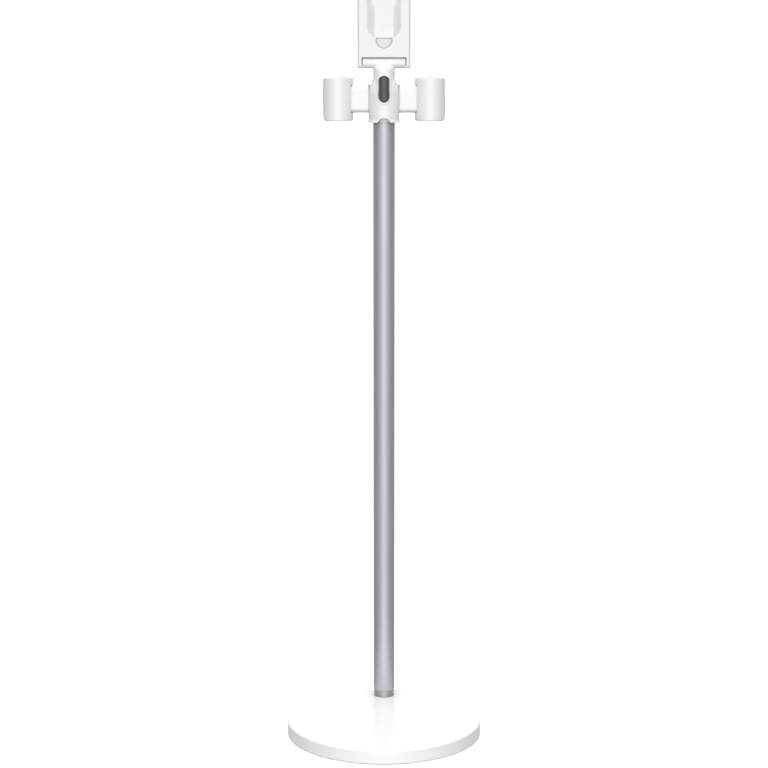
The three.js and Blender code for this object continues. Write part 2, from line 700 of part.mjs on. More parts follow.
function pocketInsert() {
  const lining = pocketVolume(-gap, pocketBack - gap - pocket.lining, pocketBack - gap);
  return cut(lining, block([-50, 50], [0, 50], [channel.end - gap, channel.end + 50]));
}

const dockGroup = new THREE.Group();
dockGroup.position.set(0, poleY, collarBottom + barrel.z);
dockGroup.add(node("dock_front", dockFront(), whiteSatin));
dockGroup.add(node("dock_back", dockBackCover(), whiteSatin));
dockGroup.add(node("pocket_insert", pocketInsert(), lightGrey));
dockScrewPlaces().forEach(([x, z], i) => {
  const screw = node(`dock_screw_${i + 1}`, screwForward(dockScrew, dockScrew.length), steel);
  screw.position.set(x, dock.back + gap, z);
  dockGroup.add(screw);
});
const pinEnd = halfDock - hingeCap.thick - 2 * gap;
dockGroup.add(node("hinge_pin", rod("x", hingePin.radius, -pinEnd, pinEnd, [0, 0], medium), steel));
for (const [word, side] of [["left", -1], ["right", 1]]) {
  const span = (from, to) => [side * from, side * to].sort((a, b) => a - b);
  const tube = (outer, inner, [from, to]) =>
    cut(rod("x", outer, from, to, [0, 0], medium), rod("x", inner, from - 1, to + 1, [0, 0], medium));
  const end = barrel.length / 2;
  const sleeve = tube(bush.radius, hingePin.radius + running, span(end - bush.length + gap, end));
  const shim = tube(washer.radius, hingePin.radius + gap, span(end + gap, end + gap + washer.thick));
  const [from, to] = span(halfDock - hingeCap.thick, halfDock);
  dockGroup.add(node(`hinge_bush_${word}`, sleeve, brass));
  dockGroup.add(node(`hinge_washer_${word}`, shim, blackSatin));
  dockGroup.add(node(`hinge_cap_${word}`, rod("x", hingeCap.radius, from, to, [0, 0], medium), whiteSatin));
}

const stand = new THREE.Group();
stand.add(baseGroup, poleGroup, headGroup, dockGroup);

export default stand;
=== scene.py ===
import math
from itertools import product

import bmesh
import bpy
import numpy as np
from bpy.props import FloatProperty, FloatVectorProperty, PointerProperty
from mathutils import Matrix, Vector


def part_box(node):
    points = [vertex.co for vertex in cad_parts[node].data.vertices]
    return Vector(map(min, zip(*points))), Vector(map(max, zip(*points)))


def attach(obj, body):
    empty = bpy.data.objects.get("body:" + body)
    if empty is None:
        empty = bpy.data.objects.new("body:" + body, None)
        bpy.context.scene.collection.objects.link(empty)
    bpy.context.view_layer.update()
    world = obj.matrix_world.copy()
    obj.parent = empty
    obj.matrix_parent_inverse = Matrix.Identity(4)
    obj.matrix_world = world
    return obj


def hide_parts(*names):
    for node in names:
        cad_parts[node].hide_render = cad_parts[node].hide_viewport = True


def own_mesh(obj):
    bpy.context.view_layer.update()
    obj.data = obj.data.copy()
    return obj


# Floor stand for a cordless stick vacuum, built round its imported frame. Lengths in the code are
# millimetres unless a name ends in _m, and every mesh is written in metres in the frame's own place.

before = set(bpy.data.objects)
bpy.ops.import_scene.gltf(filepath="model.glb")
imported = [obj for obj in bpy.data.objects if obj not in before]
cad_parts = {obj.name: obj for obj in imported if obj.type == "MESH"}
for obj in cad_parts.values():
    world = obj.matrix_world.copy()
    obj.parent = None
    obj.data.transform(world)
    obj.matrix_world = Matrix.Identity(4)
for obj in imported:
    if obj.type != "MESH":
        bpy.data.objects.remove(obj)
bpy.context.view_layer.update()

bl_info = {
    "name": "Stick vacuum floor stand",
    "version": (1, 0, 0),
    "blender": (4, 5, 0),
    "location": "3D View > Sidebar > Floor stand",
    "description": "Builds the finished mouldings, metal parts and studio of a vacuum floor stand",
    "category": "Object",
}


def node_box(name):
    """The lowest and highest corner of a frame node in millimetres."""
    low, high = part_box(name)
    return np.array(low) * 1000, np.array(high) * 1000


POLE_LOW, POLE_HIGH = node_box("pole_tube")
POLE_Y = (POLE_LOW[1] + POLE_HIGH[1]) / 2
COVER_LOW, COVER_HIGH = node_box("base_cover")
HEAD_LOW, HEAD_HIGH = node_box("head_housing")
DOCK_LOW, DOCK_HIGH = node_box("dock_front")
CUP_LOW, CUP_HIGH = node_box("cup_right")
HEAD_Z = HEAD_LOW[2]
BARREL_Z = 85.0
HINGE_Z = HEAD_Z + BARREL_Z
LATCH_Z = 32.5


def linear(code):
    """An sRGB hex colour as three linear values."""
    values = [int(code[i:i + 2], 16) / 255 for i in (1, 3, 5)]
    return [v / 12.92 if v <= 0.04045 else ((v + 0.055) / 1.055) ** 2.4 for v in values]


def length_property(name, description, default_mm, low_mm=0.1, high_mm=2000.0):
    """A length for the panel, given in millimetres and held in metres."""
    return FloatProperty(
        name=name,
        description=description,
        default=default_mm / 1000,
        min=low_mm / 1000,
        max=high_mm / 1000,
        subtype="DISTANCE",
        unit="LENGTH",
        precision=4,
    )


def colour_property(name, description, code):
    """A colour for the panel, given as an sRGB hex code."""
    return FloatVectorProperty(
        name=name,
        description=description,
        default=linear(code),
        size=3,
        min=0.0,
        max=1.0,
        subtype="COLOR",
    )


class FLOORSTAND_PG_sizes(bpy.types.PropertyGroup):
    """Sizes of the finished pieces that a user would change."""

    cover_edge: length_property("Base edge", "Radius of the base cover's upper edge", 3.0)
    pole_radius: length_property(
        "Pole radius", "Outside radius of the pole", (POLE_HIGH[0] - POLE_LOW[0]) / 2
    )
    neck_radius: length_property("Neck radius", "Radius of the head's neck", 16.0)
    collar_radius: length_property("Collar radius", "Radius of the head's collar", 22.5)
    neck_fillet: length_property("Neck fillet", "Fillet between the neck and the barrel", 2.0)
    button_edge: length_property("Button edge", "Rounding of the release button's edge", 1.8)
    arm_round: length_property("Arm rounding", "Rounding along the arms' edges", 6.0)
    cup_wall: length_property("Cup wall", "Wall of the accessory cups", 3.65)
    dock_edge: length_property("Dock edge", "Width of the chamfer round the dock's face", 2.6)
    channel_edge: length_property("Channel edge", "Rounding of the dock channel's edges", 1.0)


class FLOORSTAND_PG_colours(bpy.types.PropertyGroup):
    """Colours of the finishes."""

    gloss_white: colour_property("Gloss white", "Gloss ABS mouldings", "#D5D6D7")
    # Lighter than the gloss white only to paint in the light that the floor bounces onto the base and the
    # light from above.
    base_white_painted_bounce: colour_property("Base white", "Gloss ABS base cover", "#DADBDC")
    satin_white: colour_property("Satin white", "Satin ABS dock", "#D4D5D5")
    pale_grey: colour_property("Pale grey", "Polypropylene inner parts", "#C9CBCD")
    button_grey: colour_property("Button grey", "Release button", "#36343A")
    pole_grey: colour_property("Pole grey", "Anodised aluminium", "#AEADB3")


# ---------------------------------------------------------------- fields
# A piece's shape is a distance field: negative inside, and about the distance to the surface outside.


def corner(a, b):
    """Distance to a convex edge where two fields meet."""
    return np.hypot(np.maximum(a, 0), np.maximum(b, 0)) + np.minimum(np.maximum(a, b), 0)


def fuse(a, b, radius):
    """Both shapes, with a fillet where they meet."""
    grown = np.maximum(radius, np.minimum(a, b))
    return grown - np.hypot(np.maximum(radius - a, 0), np.maximum(radius - b, 0))


def meet(a, b, radius):
    """What two shapes share, with a rounded edge."""
    return -fuse(-a, -b, radius)


def carve(a, b, radius):
    """The first shape without the second, with a rounded edge."""
    return meet(a, -b, radius)


def oblong(u, v, half_u, half_v, radius):
    """A rectangle in two coordinates with rounded corners."""
    return corner(np.abs(u) - half_u + radius, np.abs(v) - half_v + radius) - radius


def slot_shape(u, v, width, height):
    """An upright slot with round ends."""
    reach = (height - width) / 2
    return np.hypot(u, np.maximum(np.abs(v) - reach, 0)) - width / 2


def span(w, low, high):
    """Distance outside a stretch of one coordinate."""
    return np.abs(w - (low + high) / 2) - (high - low) / 2


def thick(flat, w, low, high, radius):
    """A flat shape given thickness along a third coordinate, with rounded edges."""
    return corner(flat + radius, span(w, low, high) + radius) - radius


def block(x, y, z, xs, ys, zs, radius):
    """A box between two values of each coordinate, with rounded edges."""
    half = [(high - low) / 2 for low, high in (xs, ys, zs)]
    flat = oblong(x - sum(xs) / 2, y - sum(ys) / 2, half[0], half[1], radius)
    return thick(flat, z, zs[0], zs[1], radius)


def ellipse(u, v, half_u, half_v):
    """Near its edge, the distance to an ellipse in two coordinates."""
    inner = np.hypot(u / half_u, v / half_v)
    slope = np.hypot(u / half_u**2, v / half_v**2)
    return inner * (inner - 1) / np.maximum(slope, 1e-6)


# ---------------------------------------------------------------- meshes

CORNERS = np.array(list(product((0, 1), repeat=3)))
EDGES = [(i, i + step) for i in range(8) for step in (1, 2, 4) if not i & step]
# How far the sampling grid starts before and ends after the piece, in steps. The first is an odd share of a
# step, so that flat faces don't fall on the grid.
GRID_LEAD, GRID_TAIL = 1.37, 2.5
# Each point then steps down the field's slope to the surface. The slope is measured over this many
# millimetres and kept above a least value, and a point moves at most this share of a grid step at a time.
NEWTON_STEPS = 4
SLOPE_STEP = 0.02
LEAST_SLOPE = 0.05
MOST_MOVE = 0.6
# A ring this far outside each fillet keeps the flat face beside it flat when it is shaded.
KEEP_FLAT = 0.2
# Points that a cut leaves closer than this become one.
WELD_M = 2e-6
TOOL_TWIST = 0.06


def surface_of(field, low, high, step):
    """Points and four-sided faces on the surface where a field is zero, in a box, at a grid step."""
    step = np.broadcast_to(np.asarray(step, float), 3)
    axes = [
        np.arange(low[i] - GRID_LEAD * step[i], high[i] + GRID_TAIL * step[i], step[i]) for i in range(3)
    ]
    x, y, z = np.ix_(*axes)
    shape = tuple(len(a) for a in axes)
    values = np.broadcast_to(field(x, y, z), shape).astype(np.float32)
    inside = values < 0
    cells = tuple(n - 1 for n in shape)
    count = sum(
        inside[i:i + cells[0], j:j + cells[1], k:k + cells[2]].astype(np.int8) for i, j, k in CORNERS
    )
    active = (count > 0) & (count < 8)
    index = np.full(cells, -1, np.int64)
    index[active] = np.arange(active.sum())
    where = np.argwhere(active)
    held = [values[tuple((where + c).T)].astype(float) for c in CORNERS]
    place = np.zeros((len(where), 3))
    crossings = np.zeros(len(where))
    for a, b in EDGES:
        crosses = (held[a] < 0) != (held[b] < 0)
        share = np.where(crosses, held[a] / np.where(crosses, held[a] - held[b], 1), 0)
        place += crosses[:, None] * (CORNERS[a] + share[:, None] * (CORNERS[b] - CORNERS[a]))
        crossings += crosses
    origin = np.array([a[0] for a in axes])
    points = origin + (where + place / crossings[:, None]) * step
    faces = []
    for axis in range(3):
        u, v = [(1, 2), (2, 0), (0, 1)][axis]
        first = np.take(inside, range(shape[axis] - 1), axis)
        second = np.take(inside, range(1, shape[axis]), axis)
        at = np.argwhere(first != second)
        at = at[(at[:, u] > 0) & (at[:, v] > 0) & (at[:, u] < cells[u]) & (at[:, v] < cells[v])]
        outward = first[tuple(at.T)]
        back_u, back_v = np.eye(3, dtype=int)[u], np.eye(3, dtype=int)[v]
        shifts = (back_u + back_v, back_v, 0 * back_u, back_u)
        quad = [index[tuple((at - shift).T)] for shift in shifts]
        quad = np.stack(quad, axis=1)
        faces.append(np.where(outward[:, None], quad, quad[:, ::-1]))
    limit = MOST_MOVE * step
    for _ in range(NEWTON_STEPS):
        slope = np.empty_like(points)
        for i in range(3):
            ahead, behind = points.copy(), points.copy()
            ahead[:, i] += SLOPE_STEP
            behind[:, i] -= SLOPE_STEP
            slope[:, i] = (field(*ahead.T) - field(*behind.T)) / (2 * SLOPE_STEP)
        value = field(*points.T)
        move = -value[:, None] * slope / np.maximum((slope**2).sum(1), LEAST_SLOPE)[:, None]
        points = points + np.clip(move, -limit, limit)
    return points, np.concatenate(faces)


def softened(corners, closed=True, steps=5):
    """A profile of (radius, height, fillet) corners as plain points, with each fillet drawn as an arc."""
    out = []
    count = len(corners)
    for i, (r, z, fillet) in enumerate(corners):
        here = np.array([r, z], float)
        if not fillet or (not closed and i in (0, count - 1)):
            out.append((r, z))
            continue
        before = np.array(corners[i - 1][:2], float) - here
        after = np.array(corners[(i + 1) % count][:2], float) - here
        room = min(np.linalg.norm(before), np.linalg.norm(after))
        before, after = before / np.linalg.norm(before), after / np.linalg.norm(after)
        half = math.acos(float(np.clip(before @ after, -1, 1))) / 2
        reach = fillet / math.tan(half)
        middle = (before + after) / np.linalg.norm(before + after)
        centre = here + middle * fillet / math.sin(half)
        start, end = here + before * reach, here + after * reach
        if room > 2 * (reach + KEEP_FLAT):
            out.append(tuple(here + before * (reach + KEEP_FLAT)))
        for k in range(steps + 1):
            chord = (start - centre) * (1 - k / steps) + (end - centre) * k / steps
            out.append(tuple(centre + chord * fillet / np.linalg.norm(chord)))
        if room > 2 * (reach + KEEP_FLAT):
            out.append(tuple(here + after * (reach + KEEP_FLAT)))
    return out


def pin_profile(radius, low, high, edge):
    """The profile of a plain pin with rounded ends."""
    return softened([(0, low, 0), (radius, low, edge), (radius, high, edge), (0, high, 0)], closed=False)


def rings_of(rings, segments):
    """Points and faces through rings of (radius, height, y offset), in a loop or with ends on the axis."""
    angles = np.arange(segments) * 2 * math.pi / segments
    points, faces, starts = [], [], []
    for ring in rings:
        r, z, offset = (*ring, 0)[:3]
        starts.append((len(points), r > 0))
        if r > 0:
            points += [(r * math.sin(a), offset - r * math.cos(a), z) for a in angles]
        else:
            points.append((0, offset, z))
    capped = not starts[0][1]
    pairs = list(zip(starts, starts[1:])) + ([] if capped else [(starts[-1], starts[0])])
    for (a, full_a), (b, full_b) in pairs:
        for k in range(segments):
            n = (k + 1) % segments
            if full_a and full_b:
                faces.append((a + k, a + n, b + n, b + k))
            elif full_a:
                faces.append((a + k, a + n, b))
            elif full_b:
                faces.append((a, b + n, b + k))
    return np.array(points, float), faces


def mesh_object(name, points, faces, sharp_degrees=None):
    """A mesh object from millimetre points in the frame's place, with its faces turned outwards and smooth."""
    mesh = bpy.data.meshes.new(name)
    mesh.from_pydata((np.asarray(points) / 1000).tolist(), [], [tuple(map(int, f)) for f in faces])
    work = bmesh.new()
    work.from_mesh(mesh)
    bmesh.ops.recalc_face_normals(work, faces=work.faces)
    work.to_mesh(mesh)
    work.free()
    mesh.polygons.foreach_set("use_smooth", np.ones(len(mesh.polygons), bool))
    if sharp_degrees:
        mesh.set_sharp_from_angle(angle=math.radians(sharp_degrees))
    mesh.update()
    made = bpy.data.objects.new(name, mesh)
    bpy.context.scene.collection.objects.link(made)
    return made


def with_boolean(body, tools, operation, sharp_degrees=35):
    """The body joined with or cut by the tools, as one closed mesh."""
    for tool in tools:
        step = body.modifiers.new("step", "BOOLEAN")
        step.operation = operation
        step.solver = "EXACT"
        step.object = tool
    bpy.context.view_layer.update()
    whole = bpy.data.meshes.new_from_object(body.evaluated_get(bpy.context.evaluated_depsgraph_get()))
    body.modifiers.clear()
    body.data = whole
    for tool in tools:
        bpy.data.objects.remove(tool)
    work = bmesh.new()
    work.from_mesh(whole)
    bmesh.ops.remove_doubles(work, verts=work.verts, dist=WELD_M)
    bmesh.ops.dissolve_degenerate(work, edges=work.edges, dist=WELD_M)
    bmesh.ops.holes_fill(work, edges=[e for e in work.edges if e.is_boundary], sides=0)
    work.to_mesh(whole)
    work.free()
    whole.polygons.foreach_set("use_smooth", np.ones(len(whole.polygons), bool))
    whole.set_sharp_from_angle(angle=math.radians(sharp_degrees))
    return body


def placed(points, turn=None, at=(0, 0, 0)):
    """Millimetre points turned about the origin and then moved."""
    points = np.asarray(points, float)
    if turn is not None:
        points = points @ np.array(turn).T
    return points + np.array(at, float)


ALONG_X = Matrix.Rotation(math.pi / 2, 3, "Y")
ALONG_Y = Matrix.Rotation(-math.pi / 2, 3, "X")
UPSIDE_DOWN = Matrix.Rotation(math.pi, 3, "X")


def turned_piece(name, profile, segments=96, turn=None, at=(0, 0, 0), sharp_degrees=35):
    """A mesh object made by turning a profile about an axis."""
    points, faces = rings_of(profile, segments)
    return mesh_object(name, placed(points, turn, at), faces, sharp_degrees)


def field_piece(name, field, low, high, step, at=(0, 0, 0)):
    """A mesh object on the surface of a distance field."""
    points, faces = surface_of(field, low, high, step)
    return mesh_object(name, placed(points, None, at), faces)


def rod_tool(radius, low, high, at, turn=None, segments=32):
    """A plain rod, used only to cut holes or to join bosses."""
    points, faces = rings_of([(0, low), (radius, low), (radius, high), (0, high)], segments)
    # A slight twist keeps the rod's edges off the edges of the piece that it cuts.
    points = placed(points, Matrix.Rotation(TOOL_TWIST, 3, "Z"))
    return mesh_object("tool", placed(points, turn, at), faces)


def eccentric(name, outer, inner, offset, segments, spread=8):
    """A round plate whose hole is off its centre: rings run from the rim's profile to the bore's and back."""
    rings = [(r, z, 0) for r, z in outer]
    for start, end, forward in ((outer[-1], inner[0], True), (inner[-1], outer[0], False)):
        for k in range(1, spread):
            t = k / spread
            rings.append((start[0] + (end[0] - start[0]) * t, start[1], offset * (t if forward else 1 - t)))
        if forward:
            rings += [(r, z, offset) for r, z in inner]
    points, faces = rings_of(rings, segments)
    return mesh_object(name, points, faces, 40)


def wear(piece, material):
    """Gives a piece that one material."""
    piece.data.materials.clear()
    piece.data.materials.append(material)


def belongs(piece, material, body, node):
    """Gives a piece its material and its body, and hides the frame node that it stands for."""
    wear(piece, material)
    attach(piece, body)
    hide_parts(node)


# ---------------------------------------------------------------- materials


def add_node(tree, kind, inputs=(), **settings):
    """Adds a node with its settings, values and links, and returns it."""
    made = tree.nodes.new(kind)
    for key, value in settings.items():
        setattr(made, key, value)
    for key, value in dict(inputs).items():
        if isinstance(value, bpy.types.NodeSocket):
            tree.links.new(value, made.inputs[key])
        else:
            made.inputs[key].default_value = value
    return made


def new_material(name):
    """A material whose node tree is still empty."""
    made = bpy.data.materials.new(name)
    made.use_nodes = True
    made.node_tree.nodes.clear()
    return made


def per_metre(size_mm):
    """A texture scale whose waves are about that size."""
    return 1000.0 / size_mm


# A noise texture stays mostly between these two values.
NOISE_LOW, NOISE_HIGH = 0.3, 0.7


def finish_from(name, colour, low_rough, high_rough, grain_mm, depth_mm, **more):
    """A material with a grain of one real size and depth, slow roughness change and slight colour change."""
    found = bpy.data.materials.get(name)
    if found:
        return found
    stretch = more.get("stretch", (1, 1, 1))
    tint = more.get("tint", 0.02)
    patch_mm = more.get("patch_mm", 60)
    speck = more.get("speck", 0.01)
    made = new_material(name)
    tree = made.node_tree
    place = add_node(tree, "ShaderNodeTexCoord").outputs["Object"]
    along = add_node(tree, "ShaderNodeMapping", {"Vector": place, "Scale": stretch}).outputs["Vector"]
    grain = add_node(
        tree,
        "ShaderNodeTexNoise",
        {"Vector": along, "Scale": per_metre(grain_mm), "Detail": more.get("detail", 3.0), "Roughness": 0.55},
    ).outputs["Fac"]
    patches = add_node(
        tree, "ShaderNodeTexNoise", {"Vector": place, "Scale": per_metre(patch_mm), "Detail": 2.0}
    ).outputs["Fac"]
    shade = add_node(
        tree,
        "ShaderNodeMapRange",
        {"Value": patches, "From Min": NOISE_LOW, "From Max": NOISE_HIGH, "To Min": 1 - tint, "To Max": 1.0},
    ).outputs["Result"]
    spots = add_node(
        tree,
        "ShaderNodeMapRange",
        {"Value": grain, "From Min": NOISE_LOW, "From Max": NOISE_HIGH, "To Min": 1 - speck, "To Max": 1.0},
    ).outputs["Result"]
    both = add_node(tree, "ShaderNodeMath", {0: shade, 1: spots}, operation="MULTIPLY").outputs[0]
    tone = add_node(
        tree,
        "ShaderNodeMix",
        {"Factor": 1.0, "A": (*colour, 1), "B": (1, 1, 1, 1)},
        data_type="RGBA",
        blend_type="MULTIPLY",
    )
    grey = add_node(tree, "ShaderNodeCombineColor", {"Red": both, "Green": both, "Blue": both})
    tree.links.new(grey.outputs["Color"], tone.inputs["B"])
    blur = add_node(
        tree,
        "ShaderNodeMapRange",
        {
            "Value": patches,
            "From Min": NOISE_LOW,
            "From Max": NOISE_HIGH,
            "To Min": low_rough,
            "To Max": high_rough,
        },
    ).outputs["Result"]
    bump = add_node(
        tree, "ShaderNodeBump", {"Height": grain, "Strength": 1.0, "Distance": depth_mm / 1000}
    ).outputs["Normal"]
    shader = add_node(
        tree,
        "ShaderNodeBsdfPrincipled",
        {"Base Color": tone.outputs["Result"], "Roughness": blur, "Normal": bump},
    )
    for key, value in more.get("sockets", {}).items():
        shader.inputs[key].default_value = value
    tree.links.new(shader.outputs["BSDF"], add_node(tree, "ShaderNodeOutputMaterial").inputs["Surface"])
    return made


ABS_IOR = 1.54
PP_IOR = 1.49


def gloss_base_abs_painted_bounce():
    # The same gloss ABS as the head, its colour made lighter to paint in the light that the floor bounces onto
    # the base and the light from above, with a longer and shallower peel of 5 mm waves.
    return finish_from(
        "gloss_base_abs_painted_bounce", colours().base_white_painted_bounce, 0.3, 0.34, 5.0, 0.001,
        detail=1.0, tint=0.006, speck=0.0, sockets={"IOR": ABS_IOR},
    )


def gloss_abs():
    # Injection-moulded gloss ABS: clean soft-edged reflections that waver slightly with the orange peel.
    # The peel's waves are 3 mm long and a few microns high.
    return finish_from(
        "gloss_white_abs", colours().gloss_white, 0.27, 0.31, 3.0, 0.0012,
        detail=1.0, tint=0.008, speck=0.0, sockets={"IOR": ABS_IOR},
    )


def satin_abs():
    # ABS moulded against a spark-eroded tool: a dull satin sheen without clear reflections.
    # The real grain is 0.15 mm; it is drawn at 0.9 mm so that it shows.
    return finish_from(
        "satin_white_abs", colours().satin_white, 0.4, 0.46, 0.9, 0.006,
        tint=0.012, sockets={"IOR": ABS_IOR},
    )


def pale_polypropylene():
    # Moulded polypropylene: waxy and a little translucent, with a soft broad sheen.
    return finish_from(
        "pale_polypropylene", colours().pale_grey, 0.42, 0.5, 1.2, 0.01,
        tint=0.02, sockets={"IOR": PP_IOR},
    )


def white_polypropylene():
    # Natural white polypropylene: a touch greyer than the ABS beside it, with a waxy sheen.
    return finish_from(
        "white_polypropylene", linear("#C2C3C5"), 0.36, 0.44, 1.2, 0.004,
        tint=0.015, sockets={"IOR": PP_IOR},
    )


def button_abs():
    # Dark ABS with a fine leather-like grain: a soft grey bloom on its crown and darker edges.
    return finish_from(
        "dark_grained_abs", colours().button_grey, 0.34, 0.42, 0.8, 0.02,
        tint=0.05, speck=0.06, sockets={"IOR": ABS_IOR},
    )


def anodised_pole():
    # Aluminium tube under a thick matt anodised film: a chalky grey with a soft metallic band down the front,
    # darker at both edges, and faint extrusion lines. The lines are 0.4 mm apart and are drawn at 1.6 mm.
    return finish_from(
        "matt_anodised_aluminium", colours().pole_grey, 0.42, 0.48, 1.6, 0.004,
        stretch=(1, 1, 0.012), tint=0.02, speck=0.04, patch_mm=90, sockets={"Metallic": 0.6},
    )


def cast_zinc():
    # Die-cast and vibration-finished zinc: neutral grey, softly blurred reflections, with faint flow marks.
    return finish_from(
        "satin_cast_zinc", linear("#A3A2A7"), 0.4, 0.48, 2.5, 0.006,
        tint=0.05, sockets={"Metallic": 1.0},
    )


def cast_iron():
    # Sand-cast iron under a thin black wash: pitted by 1.5 mm sand grains and quite dull.
    return finish_from(
        "sand_cast_iron", linear("#6A6C6F"), 0.6, 0.75, 1.5, 0.12,
        detail=5.0, tint=0.2, speck=0.15, sockets={"Metallic": 1.0},
    )


def zinc_plated_steel():
    # Bright zinc-plated steel: cool, fairly sharp highlights and a slightly cloudy surface.
    return finish_from(
        "bright_zinc_plate", linear("#C6C9CC"), 0.24, 0.36, 0.8, 0.004,
        tint=0.06, patch_mm=6, sockets={"Metallic": 1.0},
    )


def sintered_bronze():
    # Oil-filled sintered bronze: warm, matt and finely porous at 0.1 mm, drawn at 0.4 mm.
    return finish_from(
        "oiled_sintered_bronze", linear("#B48A55"), 0.42, 0.52, 0.4, 0.02,
        tint=0.1, speck=0.12, sockets={"Metallic": 1.0},
    )


def nylon():
    # Black moulded nylon: smooth, with a dull waxy sheen.
    return finish_from(
        "black_nylon", linear("#2C2C2E"), 0.45, 0.55, 0.8, 0.008, tint=0.08, sockets={"IOR": 1.53},
    )


def soft_rubber():
    # Compression-moulded rubber: matt charcoal with a fine dusty grain.
    return finish_from(
        "matt_charcoal_rubber", linear("#3A3A3C"), 0.75, 0.9, 0.7, 0.03,
        tint=0.12, speck=0.1, sockets={"IOR": 1.52},
    )


def sizes():
    """The sizes as the panel holds them, in metres."""
    return bpy.context.scene.floorstand_sizes


def colours():
    """The finishes' colours as the panel holds them."""
    return bpy.context.scene.floorstand_colours


def mm(value_m):
    """A length in metres as millimetres."""
    return value_m * 1000


# ---------------------------------------------------------------- base

BASE = {"wall": 3.0, "flare": 1.0, "bore": 15.05}
BOSS = {"radius": 4.5, "low": 5.6, "hole": 2.0, "hole_low": 4.0, "hole_high": 15.8}
ACCESS_RADIUS = 11.0
WEIGHT = {"edge": 1.5, "bolt_head": 9.3, "bolt": 4.3}
FEET = {"count": 5, "circle": 118.0, "radius": 11.0, "top": 2.5, "ring": 7.2, "sunk": 0.5}
# A round plate's rim and bore are drawn apart, and this radius lies between them.
MIDWAY = 60
PLATE_SCREW = {"circle": 132.5, "head": 3.5, "thick": 1.3, "shank": 1.7, "length": 12.0}


def around(count, radius, turn=0.0):
    """Places spread evenly round a circle, from the front on."""
    angles = [turn + 2 * math.pi * i / count for i in range(count)]
    return [(radius * math.sin(a), -radius * math.cos(a)) for a in angles]


SCREW_SPOTS = around(FEET["count"], PLATE_SCREW["circle"], math.pi / FEET["count"])


def half_profile(corners, steps=5):
    """A round plate's rim or bore, whose first and last corners lead into its flat faces."""
    start, end = ((MIDWAY, corners[i][1], 0) for i in (0, -1))
    return softened([start, *corners, end], closed=False, steps=steps)[1:-1]


class FLOORSTAND_OT_base_cover(bpy.types.Operator):
    """Make the base's gloss cover: a shallow drum with a rounded rim, a hole for the pole and screw bosses"""

    bl_idname = "floorstand.base_cover"
    bl_label = "Base cover"

    def execute(self, context):
        radius, bore, wall, flare = COVER_HIGH[0], BASE["bore"], BASE["wall"], BASE["flare"]
        top, rim = COVER_HIGH[2], COVER_LOW[2]
        outer = half_profile(
            [
                (radius - flare, top, mm(sizes().cover_edge)),
                (radius, rim, 0.8),
                (radius - wall, rim, 0.6),
                (radius - wall - flare, top - wall, 2.0),
            ],
            steps=8,
        )
        inner = half_profile([(bore, top - wall, 0.4), (bore, top, 0.6)])
        cover = eccentric("base_cover_model", outer, inner, POLE_Y, 192)
        bosses = [rod_tool(BOSS["radius"], BOSS["low"], top - wall / 2, (x, y, 0)) for x, y in SCREW_SPOTS]
        with_boolean(cover, bosses, "UNION", 40)
        low, high = BOSS["hole_low"], BOSS["hole_high"]
        holes = [rod_tool(BOSS["hole"], low, high, (x, y, 0)) for x, y in SCREW_SPOTS]
        with_boolean(cover, holes, "DIFFERENCE", 40)
        belongs(cover, gloss_base_abs_painted_bounce(), "stand", "base_cover")
        return {"FINISHED"}


class FLOORSTAND_OT_base_underside(bpy.types.Operator):
    """Make the bottom plate with its screw holes and access hole, and the cast weight above it"""

    bl_idname = "floorstand.base_underside"
    bl_label = "Base underside"

    def execute(self, context):
        low, high = node_box("bottom_plate")
        rim = half_profile([(high[0], high[2], 0.5), (high[0], low[2], 0.5)])
        bore = half_profile([(ACCESS_RADIUS, low[2], 0.4), (ACCESS_RADIUS, high[2], 0.4)])
        plate = eccentric("bottom_plate_model", rim, bore, POLE_Y, 192)
        holes = [rod_tool(BOSS["hole"], 1, 8, (x, y, 0)) for x, y in SCREW_SPOTS]
        with_boolean(plate, holes, "DIFFERENCE")
        belongs(plate, pale_polypropylene(), "stand", "bottom_plate")

        low, high = node_box("base_weight")
        rim = half_profile([(high[0], high[2], WEIGHT["edge"]), (high[0], low[2], WEIGHT["edge"])])
        wide, narrow, seat = WEIGHT["bolt_head"], WEIGHT["bolt"], (low[2] + high[2]) / 2
        bore = half_profile(
            [(wide, low[2], 0.6), (wide, seat, 0.2), (narrow, seat, 0.4), (narrow, high[2], 0.4)]
        )
        weight = eccentric("base_weight_model", rim, bore, POLE_Y, 128)
        belongs(weight, cast_iron(), "stand", "base_weight")
        return {"FINISHED"}


class FLOORSTAND_OT_feet(bpy.types.Operator):
    """Make the five rubber feet, each with a soft edge and a ring pressed into its sole"""

    bl_idname = "floorstand.feet"
    bl_label = "Rubber feet"

    def execute(self, context):
        top, radius, ring, sunk = FEET["top"], FEET["radius"], FEET["ring"], FEET["sunk"]
        profile = softened(
            [
                (0, sunk, 0), (6.6, sunk, 0.2), (ring, 0, 0.3),
                (radius - 0.2, 0, 0.8), (radius, top, 0.3), (0, top, 0),
            ],
            closed=False,
        )
        for i, (x, y) in enumerate(around(FEET["count"], FEET["circle"])):
            foot = turned_piece(f"foot_{i + 1}_model", profile, 64, None, (x, y, 0))
            belongs(foot, soft_rubber(), "stand", f"foot_{i + 1}")
        return {"FINISHED"}


# ---------------------------------------------------------------- screws


